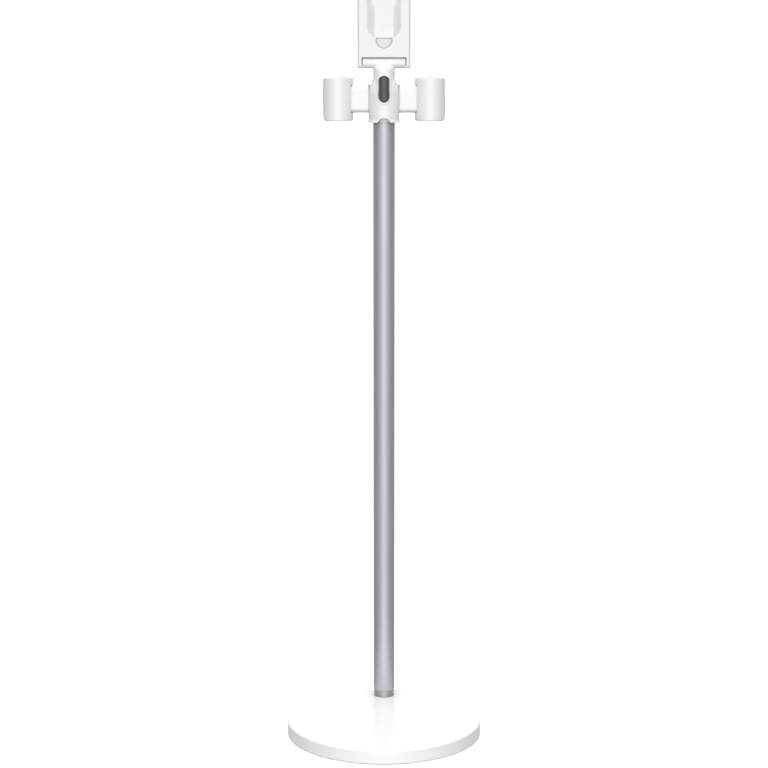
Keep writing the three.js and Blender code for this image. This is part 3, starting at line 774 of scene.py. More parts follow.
def screw_surface(head, thickness, shank, length):
    """A pan-head screw with its head up from z = 0, a cross recess and a threaded shank going down."""
    pitch, depth = 1.2, 0.12

    def field(x, y, z):
        rho = np.hypot(x, y)
        dome = ellipse(rho, np.maximum(z - 0.15 * thickness, 0), head, 0.85 * thickness)
        cap = meet(dome, -z, 0.15)
        wave = depth * np.sin(2 * math.pi * z / pitch - np.arctan2(y, x))
        stem = thick(rho - shank + 0.15 + wave, z, -length, 0.3 * thickness, 0.2)
        arm = 0.16 * head + 0.04 * z
        reach = 0.55 * head - 0.5 * (thickness - z)
        cross = np.minimum(
            np.maximum(np.abs(x) - arm, np.abs(y) - reach), np.maximum(np.abs(y) - arm, np.abs(x) - reach)
        )
        cross = np.maximum(cross, 0.25 * thickness - z)
        return carve(np.minimum(cap, stem), cross, 0.1)

    low = (-head, -head, -length)
    high = (head, head, thickness)
    return surface_of(field, low, high, (0.22, 0.22, 0.24))


def screws(places, node, shape, turn, body):
    """One screw of the shape at each place, standing for the node's numbered copies."""
    points, faces = screw_surface(*shape)
    for i, at in enumerate(places):
        name = f"{node}_{i + 1}"
        piece = mesh_object(f"{name}_model", placed(points, turn, at), faces)
        belongs(piece, zinc_plated_steel(), body, name)


class FLOORSTAND_OT_screws(bpy.types.Operator):
    """Make all the screws that show: five under the base, two behind the head and four behind the dock"""

    bl_idname = "floorstand.screws"
    bl_label = "Screws"

    def execute(self, context):
        shape = (PLATE_SCREW["head"], PLATE_SCREW["thick"], PLATE_SCREW["shank"], PLATE_SCREW["length"])
        screws([(x, y, FEET["top"]) for x, y in SCREW_SPOTS], "plate_screw", shape, UPSIDE_DOWN, "stand")
        # The head's radius and height, and the shank's radius.
        for node, shape, body in (
            ("crossbar_screw", (3.4, 1.8, 1.5), "stand"),
            ("dock_screw", (3.2, 1.6, 1.5), "dock"),
        ):
            names = sorted(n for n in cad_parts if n.startswith(node))
            boxes = [node_box(n) for n in names]
            places = [((l[0] + h[0]) / 2, h[1] - shape[1], (l[2] + h[2]) / 2) for l, h in boxes]
            length = boxes[0][1][1] - boxes[0][0][1] - shape[1]
            screws(places, node, (*shape, length), ALONG_Y, body)
        return {"FINISHED"}


# ---------------------------------------------------------------- pole

TUBE = {"wall": 1.4, "bands": 24, "latch_hole": 3.1}
STUB = {"gap": 0.3, "thread": 4.3, "thread_top": 58, "cone": 2}


class FLOORSTAND_OT_pole(bpy.types.Operator):
    """Make the anodised tube and its zinc foot, and give the frame's bolt and washer that hold it down their
    plated finish
    """

    bl_idname = "floorstand.pole"
    bl_label = "Pole"

    def execute(self, context):
        radius = mm(sizes().pole_radius)
        low, high = POLE_LOW[2], POLE_HIGH[2]
        inside = radius - TUBE["wall"]
        side = softened([(inside, high, 0.3), (inside, low, 0.3), (radius, low, 0.4), (radius, high, 0.4)])
        bands = TUBE["bands"]
        steps = [low + 2 + (high - low - 4) * k / bands for k in range(bands + 1)]
        rings = []
        for i, (r, z) in enumerate(side):
            rings.append((r, z))
            following = side[(i + 1) % len(side)]
            if abs(following[1] - z) > (high - low) / 2:
                rings += [(r, s) for s in (steps if following[1] > z else steps[::-1])]
        tube = turned_piece("pole_tube_model", rings, 96, None, (0, POLE_Y, 0))
        latch = rod_tool(TUBE["latch_hole"], -radius - 2, 0, (0, POLE_Y, HEAD_Z + LATCH_Z), ALONG_Y)
        with_boolean(tube, [latch], "DIFFERENCE")
        belongs(tube, anodised_pole(), "stand", "pole_tube")

        low, high = node_box("pole_foot")
        stub = inside - STUB["gap"]
        shoulder = POLE_LOW[2] - STUB["gap"]
        thread, thread_top, cone = STUB["thread"], STUB["thread_top"], STUB["cone"]
        profile = softened(
            [
                (thread, low[2], 0.4), (high[0], low[2], 0.4), (high[0], shoulder, 0.5), (stub, shoulder, 0.2),
                (stub, high[2] - cone, 0.3), (stub - cone, high[2], 0.5), (0, high[2], 0),
                (0, thread_top, 0), (thread, thread_top - cone, 0.3),
            ],
        )
        start = next(i for i, (r, z) in enumerate(profile) if r == 0)
        profile = profile[start + 1:] + profile[:start + 1]
        foot = turned_piece("pole_foot_model", profile, 96, None, (0, POLE_Y, 0))
        belongs(foot, cast_zinc(), "stand", "pole_foot")
        for name in ("foot_bolt", "foot_washer"):
            wear(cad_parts[name], zinc_plated_steel())
        return {"FINISHED"}


# ---------------------------------------------------------------- head

COLLAR = {"shoulder": 40, "shoulder_height": 18, "lip": 22.3}
NECK = {"shoulder": 75, "shoulder_height": 10, "blend": 5}
BARREL = {"radius": 7.6, "front_centre": 2.6, "front_round": 5.0, "half": 31.15}
BORES = {"bush": 5.3, "bush_end": 17.15, "pin": 3.6, "axle": 1.8, "screw": 1.8, "upper": 12.5}
OPENING = {"width": 17.1, "height": 38.4, "z": 48.5, "floor": -17.2, "bezel": 4.6}
YOKE_SCREWS = {"low": 19, "high": 32, "front": 20}
SOCKET = {"radius": 19.0, "top": 44.6, "upper_top": 70}
KEY_RIB = {"half": 5, "front": 20, "back": 24.5, "low": 13.5, "high": 38}
ARCH = {"half_width": 9, "height": 6.5, "back": -16}
ROCKER = {"y": -15.0, "z": 53.0}
SPRING = {"z": 62.0, "radius": 2.6, "wire": 0.5, "turns": 5, "press": 1.7}
BUTTON = {"back": -19.3, "gap": 1.6, "crown": 22.0, "crown_pull": 1.35, "axle": 1.6, "pin": 2.5}


def yoke_screw_holes(x, y, z):
    """The two holes behind the collar for the screws that hold the crossbar."""
    low, high = (np.hypot(x, z - YOKE_SCREWS[key]) for key in ("low", "high"))
    return np.maximum(np.minimum(low, high) - BORES["screw"], YOKE_SCREWS["front"] - y)


def head_field(x, y, z):
    """The bottle-shaped moulding with its cross barrel, button bezel, socket and bores."""
    collar, neck = mm(sizes().collar_radius), mm(sizes().neck_radius)
    rho = np.hypot(x, y)
    step = collar - neck
    above = z - COLLAR["shoulder"]
    shoulder = ellipse(np.maximum(rho - neck, 0), np.maximum(above, 0), step, COLLAR["shoulder_height"])
    shoulder = np.where((rho <= neck) & (above <= 0), -step, shoulder)
    neck_part = ellipse(rho, np.maximum(z - NECK["shoulder"], 0), neck, NECK["shoulder_height"])
    bottle = fuse(shoulder, neck_part, NECK["blend"])
    lip = corner(rho - COLLAR["lip"], np.abs(z - 1.2) - 0.2) - 1.0
    bottle = fuse(bottle, lip, 2.0)
    bottle = meet(bottle, -z, 0.7)
    rise = z - BARREL_Z
    centre = BARREL["front_centre"]
    squarer = corner(-y - centre, rise - centre) - BARREL["front_round"]
    barrel = np.where((y < 0) & (rise > 0), squarer, np.hypot(y, rise) - BARREL["radius"])
    barrel = thick(barrel, x, -BARREL["half"], BARREL["half"], 0.8)
    whole = fuse(bottle, barrel, mm(sizes().neck_fillet))
    margin = OPENING["bezel"]
    bezel = slot_shape(x, z - OPENING["z"], OPENING["width"] + margin, OPENING["height"] + margin)
    bezel = meet(meet(bezel, rho - collar + 0.1, 1.2), y + 6.25, 0.5)
    whole = fuse(whole, bezel, 1.5)
    half, tall = KEY_RIB["half"], (KEY_RIB["low"], KEY_RIB["high"])
    rib = block(x, y, z, (-half, half), (KEY_RIB["front"], KEY_RIB["back"]), tall, 0.6)
    whole = fuse(whole, rib, 0.5)

    opening = slot_shape(x, z - OPENING["z"], OPENING["width"], OPENING["height"])
    pocket = np.maximum(opening, y - OPENING["floor"])
    whole = carve(whole, pocket, 0.3)
    lower_room = np.maximum(rho - SOCKET["radius"], z - SOCKET["top"])
    room = np.minimum(lower_room, np.maximum(rho - BORES["upper"], z - SOCKET["upper_top"]))
    window = block(x, y, z, (-6.5, 6.5), (-19, -6.25), (43.6, 65.2), 0.5)
    whole = carve(whole, np.minimum(room, window), 0.6)
    arch = ellipse(x, np.maximum(z, 0), ARCH["half_width"], ARCH["height"])
    arch = np.maximum(arch, y - ARCH["back"])
    whole = carve(whole, arch, 0.8)
    axis = np.hypot(y, z - BARREL_Z)
    bores = np.maximum(axis - BORES["bush"], BORES["bush_end"] - np.abs(x))
    whole = carve(whole, np.minimum(bores, axis - BORES["pin"]), 0.5)
    axle = np.maximum(np.hypot(y - ROCKER["y"], z - ROCKER["z"]) - BORES["axle"], np.abs(x) - 9.8)
    whole = carve(whole, np.minimum(axle, yoke_screw_holes(x, y, z)), 0.3)
    seat = block(x, y, z, (-13.2, 13.2), (-5, -2), (56, 72), 0.5)
    return fuse(whole, np.maximum(seat, rho - 13.5), 0.5)


class FLOORSTAND_OT_head(bpy.types.Operator):
    """Make the gloss head moulding that takes the pole and carries the hinge barrel"""

    bl_idname = "floorstand.head"
    bl_label = "Head moulding"

    def execute(self, context):
        low = HEAD_LOW - (0, POLE_Y, HEAD_Z)
        high = HEAD_HIGH - (0, POLE_Y, HEAD_Z)
        piece = field_piece("head_housing_model", head_field, low, high, 0.62, (0, POLE_Y, HEAD_Z))
        belongs(piece, gloss_abs(), "stand", "head_housing")
        return {"FINISHED"}


def button_field(x, y, z):
    """The rocking button: an upright slot shape with a crowned face, two lugs and an axle hole."""
    edge, back, gap = mm(sizes().button_edge), BUTTON["back"], BUTTON["gap"]
    outline = slot_shape(x, z - OPENING["z"], OPENING["width"] - gap, OPENING["height"] - gap)
    face = meet(outline, np.hypot(x * BUTTON["crown_pull"], y) - BUTTON["crown"], edge)
    shell = meet(face, y - back, 0.3)
    shell = np.maximum(shell, y)
    lugs = block(np.abs(x), y, z, (3, 6), (back - 0.5, -11.25), (49.5, 56.5), 0.4)
    whole = fuse(shell, lugs, 0.5)
    axle = np.hypot(y - ROCKER["y"], z - ROCKER["z"]) - BUTTON["axle"]
    pin = np.maximum(np.hypot(x, z - LATCH_Z) - BUTTON["pin"], np.abs(y - back) - 1)
    return carve(whole, np.minimum(axle, pin), 0.2)


class FLOORSTAND_OT_button(bpy.types.Operator):
    """Make the dark release button, with its axle, latch pin and return spring"""

    bl_idname = "floorstand.button"
    bl_label = "Release button"

    def execute(self, context):
        place = (0, POLE_Y, HEAD_Z)
        low, high = node_box("release_button")
        button = field_piece("release_button_model", button_field, low - place, high - place, 0.35, place)
        belongs(button, button_abs(), "button", "release_button")

        low, high = node_box("button_axle")
        half = (high[0] - low[0]) / 2
        profile = pin_profile(1.5, -half, half, 0.3)
        at = (0, POLE_Y + ROCKER["y"], HEAD_Z + ROCKER["z"])
        axle = turned_piece("button_axle_model", profile, 32, ALONG_X, at)
        belongs(axle, zinc_plated_steel(), "stand", "button_axle")

        low, high = node_box("latch_pin")
        length = high[1] - low[1]
        profile = softened(
            [(0, 0, 0), (2.2, 0, 0.2), (2.2, length - 0.9, 0.2), (1.4, length, 0.3), (0, length, 0)],
            closed=False,
        )
        pin = turned_piece("latch_pin_model", profile, 32, ALONG_Y, (0, low[1], HEAD_Z + LATCH_Z))
        belongs(pin, zinc_plated_steel(), "button", "latch_pin")

        low, high = node_box("button_spring")
        wire, steps = SPRING["wire"], 24
        start, end = low[1] + wire, high[1] - wire
        line = bpy.data.curves.new("button_spring_model", "CURVE")
        line.dimensions = "3D"
        path = line.splines.new("POLY")
        total = steps * SPRING["turns"]
        path.points.add(total)
        for i, point in enumerate(path.points):
            angle = 2 * math.pi * i / steps
            point.co = (
                SPRING["radius"] * math.cos(angle) / 1000,
                (start + (end - start) * i / total) / 1000,
                (HEAD_Z + SPRING["z"] + SPRING["radius"] * math.sin(angle)) / 1000,
                1,
            )
        line.bevel_depth = wire / 1000
        line.bevel_resolution = 3
        line.use_fill_caps = True
        drawn = bpy.data.objects.new("spring_line", line)
        bpy.context.scene.collection.objects.link(drawn)
        bpy.context.view_layer.update()
        mesh = bpy.data.meshes.new_from_object(drawn.evaluated_get(bpy.context.evaluated_depsgraph_get()))
        bpy.data.objects.remove(drawn)
        spring = bpy.data.objects.new("button_spring_model", mesh)
        bpy.context.scene.collection.objects.link(spring)
        belongs(spring, zinc_plated_steel(), "stand", "button_spring")
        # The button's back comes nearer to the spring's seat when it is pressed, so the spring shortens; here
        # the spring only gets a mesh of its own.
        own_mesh(spring)
        return {"FINISHED"}


class FLOORSTAND_OT_socket_liner(bpy.types.Operator):
    """Make the grey liner that guides the pole inside the head"""

    bl_idname = "floorstand.socket_liner"
    bl_label = "Socket liner"

    def execute(self, context):
        low, high = node_box("socket_liner")
        bore = mm(sizes().pole_radius) + 0.3
        top = high[2] - HEAD_Z
        stop = top - 2
        profile = softened(
            [
                (bore, low[2] - HEAD_Z, 0.5), (high[0], low[2] - HEAD_Z, 0.4), (high[0], top, 0.4),
                (12.0, top, 0.4), (12.0, stop, 0.4), (bore, stop, 0.3),
            ]
        )
        liner = turned_piece("socket_liner_model", profile, 96, None, (0, POLE_Y, HEAD_Z))
        hole = rod_tool(3.6, -SOCKET["radius"], 0, (0, POLE_Y, HEAD_Z + LATCH_Z), ALONG_Y)
        with_boolean(liner, [hole], "DIFFERENCE")
        belongs(liner, white_polypropylene(), "stand", "socket_liner")
        return {"FINISHED"}


# ---------------------------------------------------------------- crossbar and cups

CUP_X = (CUP_LOW[0] + CUP_HIGH[0]) / 2
CUP_RADIUS = (CUP_HIGH[0] - CUP_LOW[0]) / 2
CUP_Y = CUP_LOW[1] + CUP_RADIUS - POLE_Y
ARM = {"front": -5.5, "back": 12.5, "bottom": 13.5, "top": 53.5}
YOKE = {"half_width": 27.5, "half_depth": 11.5, "y": 15.0}
SADDLE = {"inside": 20.9, "outside": 23.1, "bottom": 9.5, "top": 57.2, "x": -12, "y": -1}


def saddle_strip(x, y, z, margin, reach, inside, outside):
    """The strip behind and outside the cup on the +X side, in the cup's own place."""
    rho = np.hypot(x, y)
    tall = span(z, SADDLE["bottom"] - margin, SADDLE["top"] + margin)
    outer = np.maximum(np.maximum(SADDLE["x"] - margin - x, SADDLE["y"] - margin - y), tall)
    short = span(z, ARM["bottom"] - margin, ARM["top"] + margin)
    inner = np.maximum(np.maximum(x, reach - margin - y), short)
    ring = np.maximum(inside - rho, rho - outside)
    return meet(ring, np.minimum(outer, inner), 0.7)


def crossbar_field(x, y, z):
    """The two arms, the yoke behind the collar and the saddles that hold the cups."""
    middle_z = (ARM["bottom"] + ARM["top"]) / 2
    middle_y = (ARM["front"] + ARM["back"]) / 2
    half_y, half_z = (ARM["back"] - ARM["front"]) / 2, (ARM["top"] - ARM["bottom"]) / 2
    section = oblong(y - middle_y, z - middle_z, half_y, half_z, mm(sizes().arm_round))
    side = np.abs(x)
    arm = np.maximum(section, side - CUP_X)
    yoke = oblong(x, y - YOKE["y"], YOKE["half_width"], YOKE["half_depth"], 4)
    yoke = thick(yoke, z, ARM["bottom"], ARM["top"], 2)
    whole = fuse(arm, yoke, 1.5)
    strip = saddle_strip(side - CUP_X, y - CUP_Y, z, 0, 0, SADDLE["inside"], SADDLE["outside"])
    whole = fuse(whole, strip, 2)
    cup_room = np.hypot(side - CUP_X, y - CUP_Y) - SADDLE["inside"]
    whole = carve(whole, cup_room, 0.5)
    collar_room = np.hypot(x, y) - mm(sizes().collar_radius) - 0.15
    key_room = np.maximum(np.maximum(side - 5.3, y - 24.8), z - 38.3)
    whole = carve(whole, np.minimum(collar_room, key_room), 0.2)
    return carve(whole, yoke_screw_holes(x, y, z), 0.3)


def cup_field(x, y, z):
    """The cup on the +X side about its own axis, with the recess that its saddle grips."""
    wall, floor = mm(sizes().cup_wall), 2.6
    low, high = CUP_LOW[2] - HEAD_Z, CUP_HIGH[2] - HEAD_Z
    rho = np.hypot(x, y)
    outside = meet(meet(rho - CUP_RADIUS, low - z, 1.8), z - high, 0.9)
    inside = meet(rho - CUP_RADIUS + wall, low + floor - z, 3.0)
    whole = carve(outside, inside, 0.9)
    strip = saddle_strip(x, y, z, 0.3, ARM["front"] - CUP_Y, SADDLE["inside"] - 0.3, CUP_RADIUS + 4)
    return carve(whole, strip, 0.3)


class FLOORSTAND_OT_crossbar(bpy.types.Operator):
    """Make the gloss crossbar with its arms, yoke and cup saddles"""

    bl_idname = "floorstand.crossbar"
    bl_label = "Crossbar"

    def execute(self, context):
        place = (0, POLE_Y, HEAD_Z)
        low, high = node_box("crossbar")
        piece = field_piece("crossbar_model", crossbar_field, low - place, high - place, 0.66, place)
        belongs(piece, gloss_abs(), "stand", "crossbar")
        return {"FINISHED"}


class FLOORSTAND_OT_cups(bpy.types.Operator):
    """Make the two accessory cups, the left one a mirror image of the right"""

    bl_idname = "floorstand.cups"
    bl_label = "Accessory cups"

    def execute(self, context):
        low = np.array([-CUP_RADIUS, -CUP_RADIUS, CUP_LOW[2] - HEAD_Z])
        high = np.array([CUP_RADIUS, CUP_RADIUS, CUP_HIGH[2] - HEAD_Z])
        points, faces = surface_of(cup_field, low, high, (0.6, 0.6, 0.8))
        for word, side in (("left", -1), ("right", 1)):
            at = points * (side, 1, 1) + (side * CUP_X, POLE_Y + CUP_Y, HEAD_Z)
            cup = mesh_object(f"cup_{word}_model", at, faces)
            belongs(cup, gloss_abs(), "stand", f"cup_{word}")
        return {"FINISHED"}


# ---------------------------------------------------------------- dock

HALF_DOCK = DOCK_HIGH[0]
DOCK_FRONT = DOCK_LOW[1] - POLE_Y
DOCK_TOP = DOCK_HIGH[2] - HINGE_Z
DOCK_BOTTOM = DOCK_LOW[2] - HINGE_Z
DOCK_SEAM = DOCK_HIGH[1] - POLE_Y
NOTCH_TOP = 8.3
CHAMFER_DEPTH = 4.0
CHANNEL = {
    "half": 24.0, "floor_half": 14.0, "floor": 3.0, "mouth_half": 19.5, "mouth": 76, "mouth_run": 18,
    "bend": 54.5, "bend_half": 24.8, "end": 35.0, "end_half": 12.2,
}
POCKET = {"radius": 11.8, "z": 32.8, "floor": 5.0}
DOCK_SCREWS = {"x": 32.5, "z": (18.0, 113.0), "boss": 3.8, "hole": 1.8}
EARS = {"inside": 32.25, "pin": 3.3, "cap": 5.3, "cap_seat": 36.9}
DOCK_ROOM = {
    "half": 36.2, "front": -6.5, "top": 118.5, "trough_half": 26.5, "trough_back": 5.5, "rib_front": -7,
}


def pocket_shape(x, z, margin):
    """The half-moon outline of the pocket, grown by a margin."""
    disc = np.hypot(x, z - POCKET["z"]) - POCKET["radius"]
    upright = np.maximum(np.abs(x) - POCKET["radius"], POCKET["z"] - z)
    return np.maximum(np.minimum(disc, upright), z - CHANNEL["end"] - 0.5) - margin


def channel_field(x, y, z):
    """The channel's room: sloping sides, a floor, a tapered lower end and a wider mouth."""
    side = np.abs(x)
    depth = CHANNEL["floor"] - DOCK_FRONT
    rise = np.clip((z - CHANNEL["mouth"]) / CHANNEL["mouth_run"], 0, 1)
    wider = CHANNEL["mouth_half"] - CHANNEL["floor_half"]
    floor_half = CHANNEL["floor_half"] + wider * rise * rise * (3 - 2 * rise)
    slope = (CHANNEL["half"] - floor_half) / depth
    slanted = (side - floor_half - (CHANNEL["floor"] - y) * slope) / np.hypot(1, slope)
    trough = meet(slanted, y - CHANNEL["floor"], 1.0)
    run = CHANNEL["bend"] - CHANNEL["end"]
    along = np.clip((z - CHANNEL["end"]) / run, 0, 1)
    swell = CHANNEL["bend_half"] - CHANNEL["end_half"]
    taper = side - CHANNEL["end_half"] - swell * along * (2 - along)
    taper = taper / np.hypot(1, 2 * swell / run * (1 - along))
    ends = meet(taper, CHANNEL["end"] - z, 0.8)
    return meet(trough, ends, 0.8)


def boss_field(x, z):
    """Distance from the nearest of the dock's four screw axes."""
    low, high = (np.hypot(np.abs(x) - DOCK_SCREWS["x"], z - height) for height in DOCK_SCREWS["z"])
    return np.minimum(low, high)


def dock_front_field(x, y, z):
    """The dock's front shell with its channel, pocket, hinge ears and screw bosses."""
    edge = mm(sizes().dock_edge)
    middle, half = (DOCK_TOP + DOCK_BOTTOM) / 2, (DOCK_TOP - DOCK_BOTTOM) / 2
    upper = oblong(x, z - middle, HALF_DOCK, half, 3)
    lower = oblong(x, z - middle, HALF_DOCK, half, 1.5)
    outline = np.where(z > middle, upper, lower)
    slope = (outline + edge) * CHAMFER_DEPTH + (DOCK_FRONT - y) * edge
    slope = slope / math.hypot(CHAMFER_DEPTH, edge)
    body = meet(meet(meet(outline, DOCK_FRONT - y, 0.3), slope, 0.6), y - DOCK_SEAM, 0.5)
    side = np.abs(x)
    notch = meet(side - EARS["inside"], z - NOTCH_TOP, 0.8)
    body = carve(body, notch, 0.4)
    wide, narrow, front = DOCK_ROOM["half"], DOCK_ROOM["trough_half"], DOCK_ROOM["rib_front"]
    cavity = block(
        x, y, z, (-wide, wide), (DOCK_ROOM["front"], 40), (NOTCH_TOP + 2.5, DOCK_ROOM["top"]), 1.5
    )
    shell = carve(body, cavity, 0.5)
    trough_wall = block(x, y, z, (-narrow, narrow), (front, DOCK_ROOM["trough_back"]), (32.5, 119.7), 1)
    pocket_wall = thick(pocket_shape(x, z, 2.5), y, front, DOCK_SEAM, 0.6)
    bosses = thick(boss_field(x, z) - DOCK_SCREWS["boss"], y, front, DOCK_SEAM, 0.4)
    shell = fuse(fuse(fuse(shell, trough_wall, 1.0), pocket_wall, 0.8), bosses, 0.8)
    shell = carve(shell, channel_field(x, y, z), mm(sizes().channel_edge))
    pocket = np.maximum(pocket_shape(x, z, 0), y - POCKET["floor"])
    shell = carve(shell, pocket, 0.8)
    axis = np.hypot(y, z)
    pin = np.minimum(axis - EARS["pin"], np.maximum(axis - EARS["cap"], EARS["cap_seat"] - side))
    screw_holes = np.maximum(boss_field(x, z) - DOCK_SCREWS["hole"], -4.5 - y)
    return carve(shell, np.minimum(pin, screw_holes), 0.3)


def dock_back_field(x, y, z):
    """The back cover: a thin plate with rounded corners and a soft outer edge."""
    low, high = node_box("dock_back")
    bottom, top = low[2] - HINGE_Z, high[2] - HINGE_Z
    front, back = low[1] - POLE_Y, high[1] - POLE_Y
    outline = oblong(x, z - (bottom + top) / 2, high[0], (top - bottom) / 2, 5)
    body = meet(meet(outline, y - back, 2.0), front - y, 0.4)
    return carve(body, boss_field(x, z) - DOCK_SCREWS["hole"], 0.3)


def insert_field(x, y, z):
    """The half-moon lining at the bottom of the pocket."""
    low, high = node_box("pocket_insert")
    front, back = low[1] - POLE_Y, high[1] - POLE_Y
    flat = np.maximum(pocket_shape(x, z, -0.3), z - high[2] + HINGE_Z)
    return thick(flat, y, front, back, 0.35)


class FLOORSTAND_OT_dock(bpy.types.Operator):
    """Make the satin dock: its front shell with the channel, its back cover and the grey pocket insert"""

    bl_idname = "floorstand.dock"
    bl_label = "Dock"

    def execute(self, context):
        place = (0, POLE_Y, HINGE_Z)
        for node, field, step, material, slot in (
            ("dock_front", dock_front_field, (0.7, 0.6, 0.8), satin_abs(), "white_satin_plastic"),
            ("dock_back", dock_back_field, (0.8, 0.5, 0.8), satin_abs(), "white_satin_plastic"),
            ("pocket_insert", insert_field, 0.35, white_polypropylene(), "grey_plastic"),
        ):
            low, high = node_box(node)
            piece = field_piece(f"{node}_model", field, low - place, high - place, step, place)
            belongs(piece, material, "dock", node)
        return {"FINISHED"}


class FLOORSTAND_OT_hinge(bpy.types.Operator):
    """Make the hinge pin, its bronze bushes, nylon washers and end caps"""

    bl_idname = "floorstand.hinge"
    bl_label = "Hinge"

    def execute(self, context):
        at = (0, POLE_Y, HINGE_Z)
        low, high = node_box("hinge_pin")
        profile = pin_profile(3, low[0], high[0], 0.5)
        pin = turned_piece("hinge_pin_model", profile, 48, ALONG_X, at)
        belongs(pin, zinc_plated_steel(), "dock", "hinge_pin")
        for word in ("left", "right"):
            for part, material, slot, (bore, bore_edge), (rim, rim_edge) in (
                ("hinge_bush", sintered_bronze(), "sintered_bronze", (3.1, 0.4), (5, 0.3)),
                ("hinge_washer", nylon(), "nylon_washer", (3.3, 0.1), (6.5, 0.15)),
            ):
                low, high = node_box(f"{part}_{word}")
                ring = softened(
                    [
                        (bore, low[0], bore_edge), (rim, low[0], rim_edge),
                        (rim, high[0], rim_edge), (bore, high[0], bore_edge),
                    ]
                )
                piece = turned_piece(f"{part}_{word}_model", ring, 48, ALONG_X, at)
                belongs(piece, material, "stand", f"{part}_{word}")
            low, high = node_box(f"hinge_cap_{word}")
            outer, inner = (low[0], high[0]) if word == "left" else (high[0], low[0])
            dimple = outer - (0.3 if outer > inner else -0.3)
            profile = softened(
                [
                    (0, inner, 0), (5, inner, 0.2), (5, outer, 0.5),
                    (2.6, outer, 0.3), (2.3, dimple, 0.2), (0, dimple, 0),
                ],
                closed=False,
            )
            cap = turned_piece(f"hinge_cap_{word}_model", profile, 64, ALONG_X, at)
            belongs(cap, satin_abs(), "dock", f"hinge_cap_{word}")
        return {"FINISHED"}


# ---------------------------------------------------------------- studio

SWEEP = {"radius": 40000.0, "height": 60000.0, "curve": 9000, "lift": 0.35}
AMBIENT = 0.17
CAMERA = {"y_m": -3.2712, "z_m": 1.1235, "pitch_degrees": 10.42, "lens": 108.78, "sensor": 36.0}


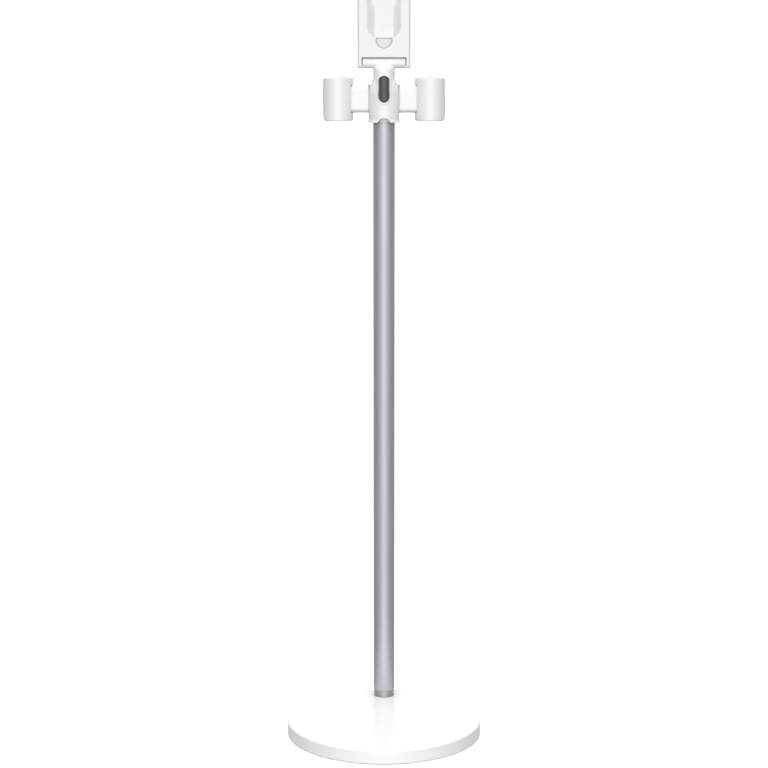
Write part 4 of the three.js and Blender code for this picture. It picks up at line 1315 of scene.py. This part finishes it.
class FLOORSTAND_OT_studio(bpy.types.Operator):
    """Set the camera, the pale floor that curves up all round, and soft light from the front and above"""

    bl_idname = "floorstand.studio"
    bl_label = "Studio"

    def execute(self, context):
        scene = context.scene
        camera = bpy.data.objects.new("camera", bpy.data.cameras.new("camera"))
        scene.collection.objects.link(camera)
        camera.location = (0, CAMERA["y_m"], CAMERA["z_m"])
        camera.rotation_euler = (math.radians(90 - CAMERA["pitch_degrees"]), 0, 0)
        camera.data.sensor_width = CAMERA["sensor"]
        camera.data.lens = CAMERA["lens"]
        camera.data.clip_start, camera.data.clip_end = 0.05, 400
        scene.camera = camera

        radius, height = SWEEP["radius"], SWEEP["height"]
        profile = softened(
            [(0, 0, 0), (radius, 0, SWEEP["curve"]), (radius, height, 0)], closed=False, steps=12
        )
        sweep = mesh_object("studio_sweep", *rings_of(profile, 64))
        for ray in ("visible_diffuse", "visible_glossy", "visible_shadow"):
            setattr(sweep, ray, False)
        # Matt painted sweep: even, with a very faint roller texture.
        paint = new_material("painted_sweep")
        tree = paint.node_tree
        place = add_node(tree, "ShaderNodeTexCoord").outputs["Object"]
        roller = add_node(
            tree, "ShaderNodeTexNoise", {"Vector": place, "Scale": per_metre(40), "Detail": 2.0}
        ).outputs["Fac"]
        tone = add_node(
            tree, "ShaderNodeMapRange", {"Value": roller, "To Min": 0.97, "To Max": 1.0}
        ).outputs["Result"]
        grey = add_node(tree, "ShaderNodeCombineColor", {"Red": tone, "Green": tone, "Blue": tone})
        shader = add_node(
            tree,
            "ShaderNodeBsdfPrincipled",
            {
                "Base Color": grey.outputs["Color"],
                "Roughness": 0.9,
                "Emission Color": (1, 1, 1, 1),
                "Emission Strength": SWEEP["lift"],
            },
        )
        tree.links.new(shader.outputs["BSDF"], add_node(tree, "ShaderNodeOutputMaterial").inputs["Surface"])
        wear(sweep, paint)

        world = scene.world or bpy.data.worlds.new("studio")
        scene.world = world
        world.use_nodes = True
        tree = world.node_tree
        tree.nodes.clear()
        facing = add_node(tree, "ShaderNodeTexCoord").outputs["Generated"]

        def glow(direction, start, full, strength):
            """Light that comes from one side, fading from full to nothing between two cosines."""
            aim = Vector(direction).normalized()
            cosine = add_node(
                tree, "ShaderNodeVectorMath", {0: facing, 1: aim}, operation="DOT_PRODUCT"
            ).outputs["Value"]
            return add_node(
                tree,
                "ShaderNodeMapRange",
                {"Value": cosine, "From Min": start, "From Max": full, "To Min": 0.0, "To Max": strength},
                interpolation_type="SMOOTHSTEP",
            ).outputs["Result"]

        parts = [
            glow((0, 0, 1), -0.7, 0.3, 0.18),
            glow((0, -1, 0.6), 0.2, 0.98, 1.7),
            glow((0, -1, 0.1), 0.88, 0.97, 2.2),
            glow((0, 0, 1), 0.6, 0.95, 1.45),
            glow((0, 1, 0.2), -0.2, 0.9, 0.5),
            glow((0, 1, 0.3), 0.5, 0.95, 0.6),
        ]
        total = AMBIENT
        for part in parts:
            total = add_node(tree, "ShaderNodeMath", {0: part, 1: total}, operation="ADD").outputs[0]
        light = add_node(tree, "ShaderNodeBackground", {"Strength": total})
        tree.links.new(light.outputs[0], add_node(tree, "ShaderNodeOutputWorld").inputs["Surface"])
        scene.view_settings.view_transform = "Standard"
        return {"FINISHED"}


# ---------------------------------------------------------------- add-on


class FLOORSTAND_PT_panel(bpy.types.Panel):
    """The stand's sizes, colours and pieces"""

    bl_idname = "FLOORSTAND_PT_panel"
    bl_label = "Floor stand"
    bl_space_type = "VIEW_3D"
    bl_region_type = "UI"
    bl_category = "Floor stand"

    def draw(self, context):
        layout = self.layout
        for group in (context.scene.floorstand_sizes, context.scene.floorstand_colours):
            column = layout.column()
            for key in group.bl_rna.properties.keys():
                if key not in ("rna_type", "name"):
                    column.prop(group, key)
        column = layout.column()
        for operator in OPERATORS:
            column.operator(operator.bl_idname)


OPERATORS = [
    FLOORSTAND_OT_studio,
    FLOORSTAND_OT_base_cover,
    FLOORSTAND_OT_base_underside,
    FLOORSTAND_OT_feet,
    FLOORSTAND_OT_pole,
    FLOORSTAND_OT_head,
    FLOORSTAND_OT_socket_liner,
    FLOORSTAND_OT_button,
    FLOORSTAND_OT_crossbar,
    FLOORSTAND_OT_cups,
    FLOORSTAND_OT_dock,
    FLOORSTAND_OT_hinge,
    FLOORSTAND_OT_screws,
]
CLASSES = [FLOORSTAND_PG_sizes, FLOORSTAND_PG_colours, *OPERATORS, FLOORSTAND_PT_panel]


def register():
    """Registers the add-on's classes and its two groups of settings."""
    for made in CLASSES:
        bpy.utils.register_class(made)
    bpy.types.Scene.floorstand_sizes = PointerProperty(type=FLOORSTAND_PG_sizes)
    bpy.types.Scene.floorstand_colours = PointerProperty(type=FLOORSTAND_PG_colours)


def unregister():
    """Takes away what register adds."""
    del bpy.types.Scene.floorstand_sizes
    del bpy.types.Scene.floorstand_colours
    for made in reversed(CLASSES):
        bpy.utils.unregister_class(made)


def main():
    """Builds every piece and the studio through the operators."""
    register()
    for operator in OPERATORS:
        group, name = operator.bl_idname.split(".")
        getattr(getattr(bpy.ops, group), name)()


if __name__ == "__main__":
    main()
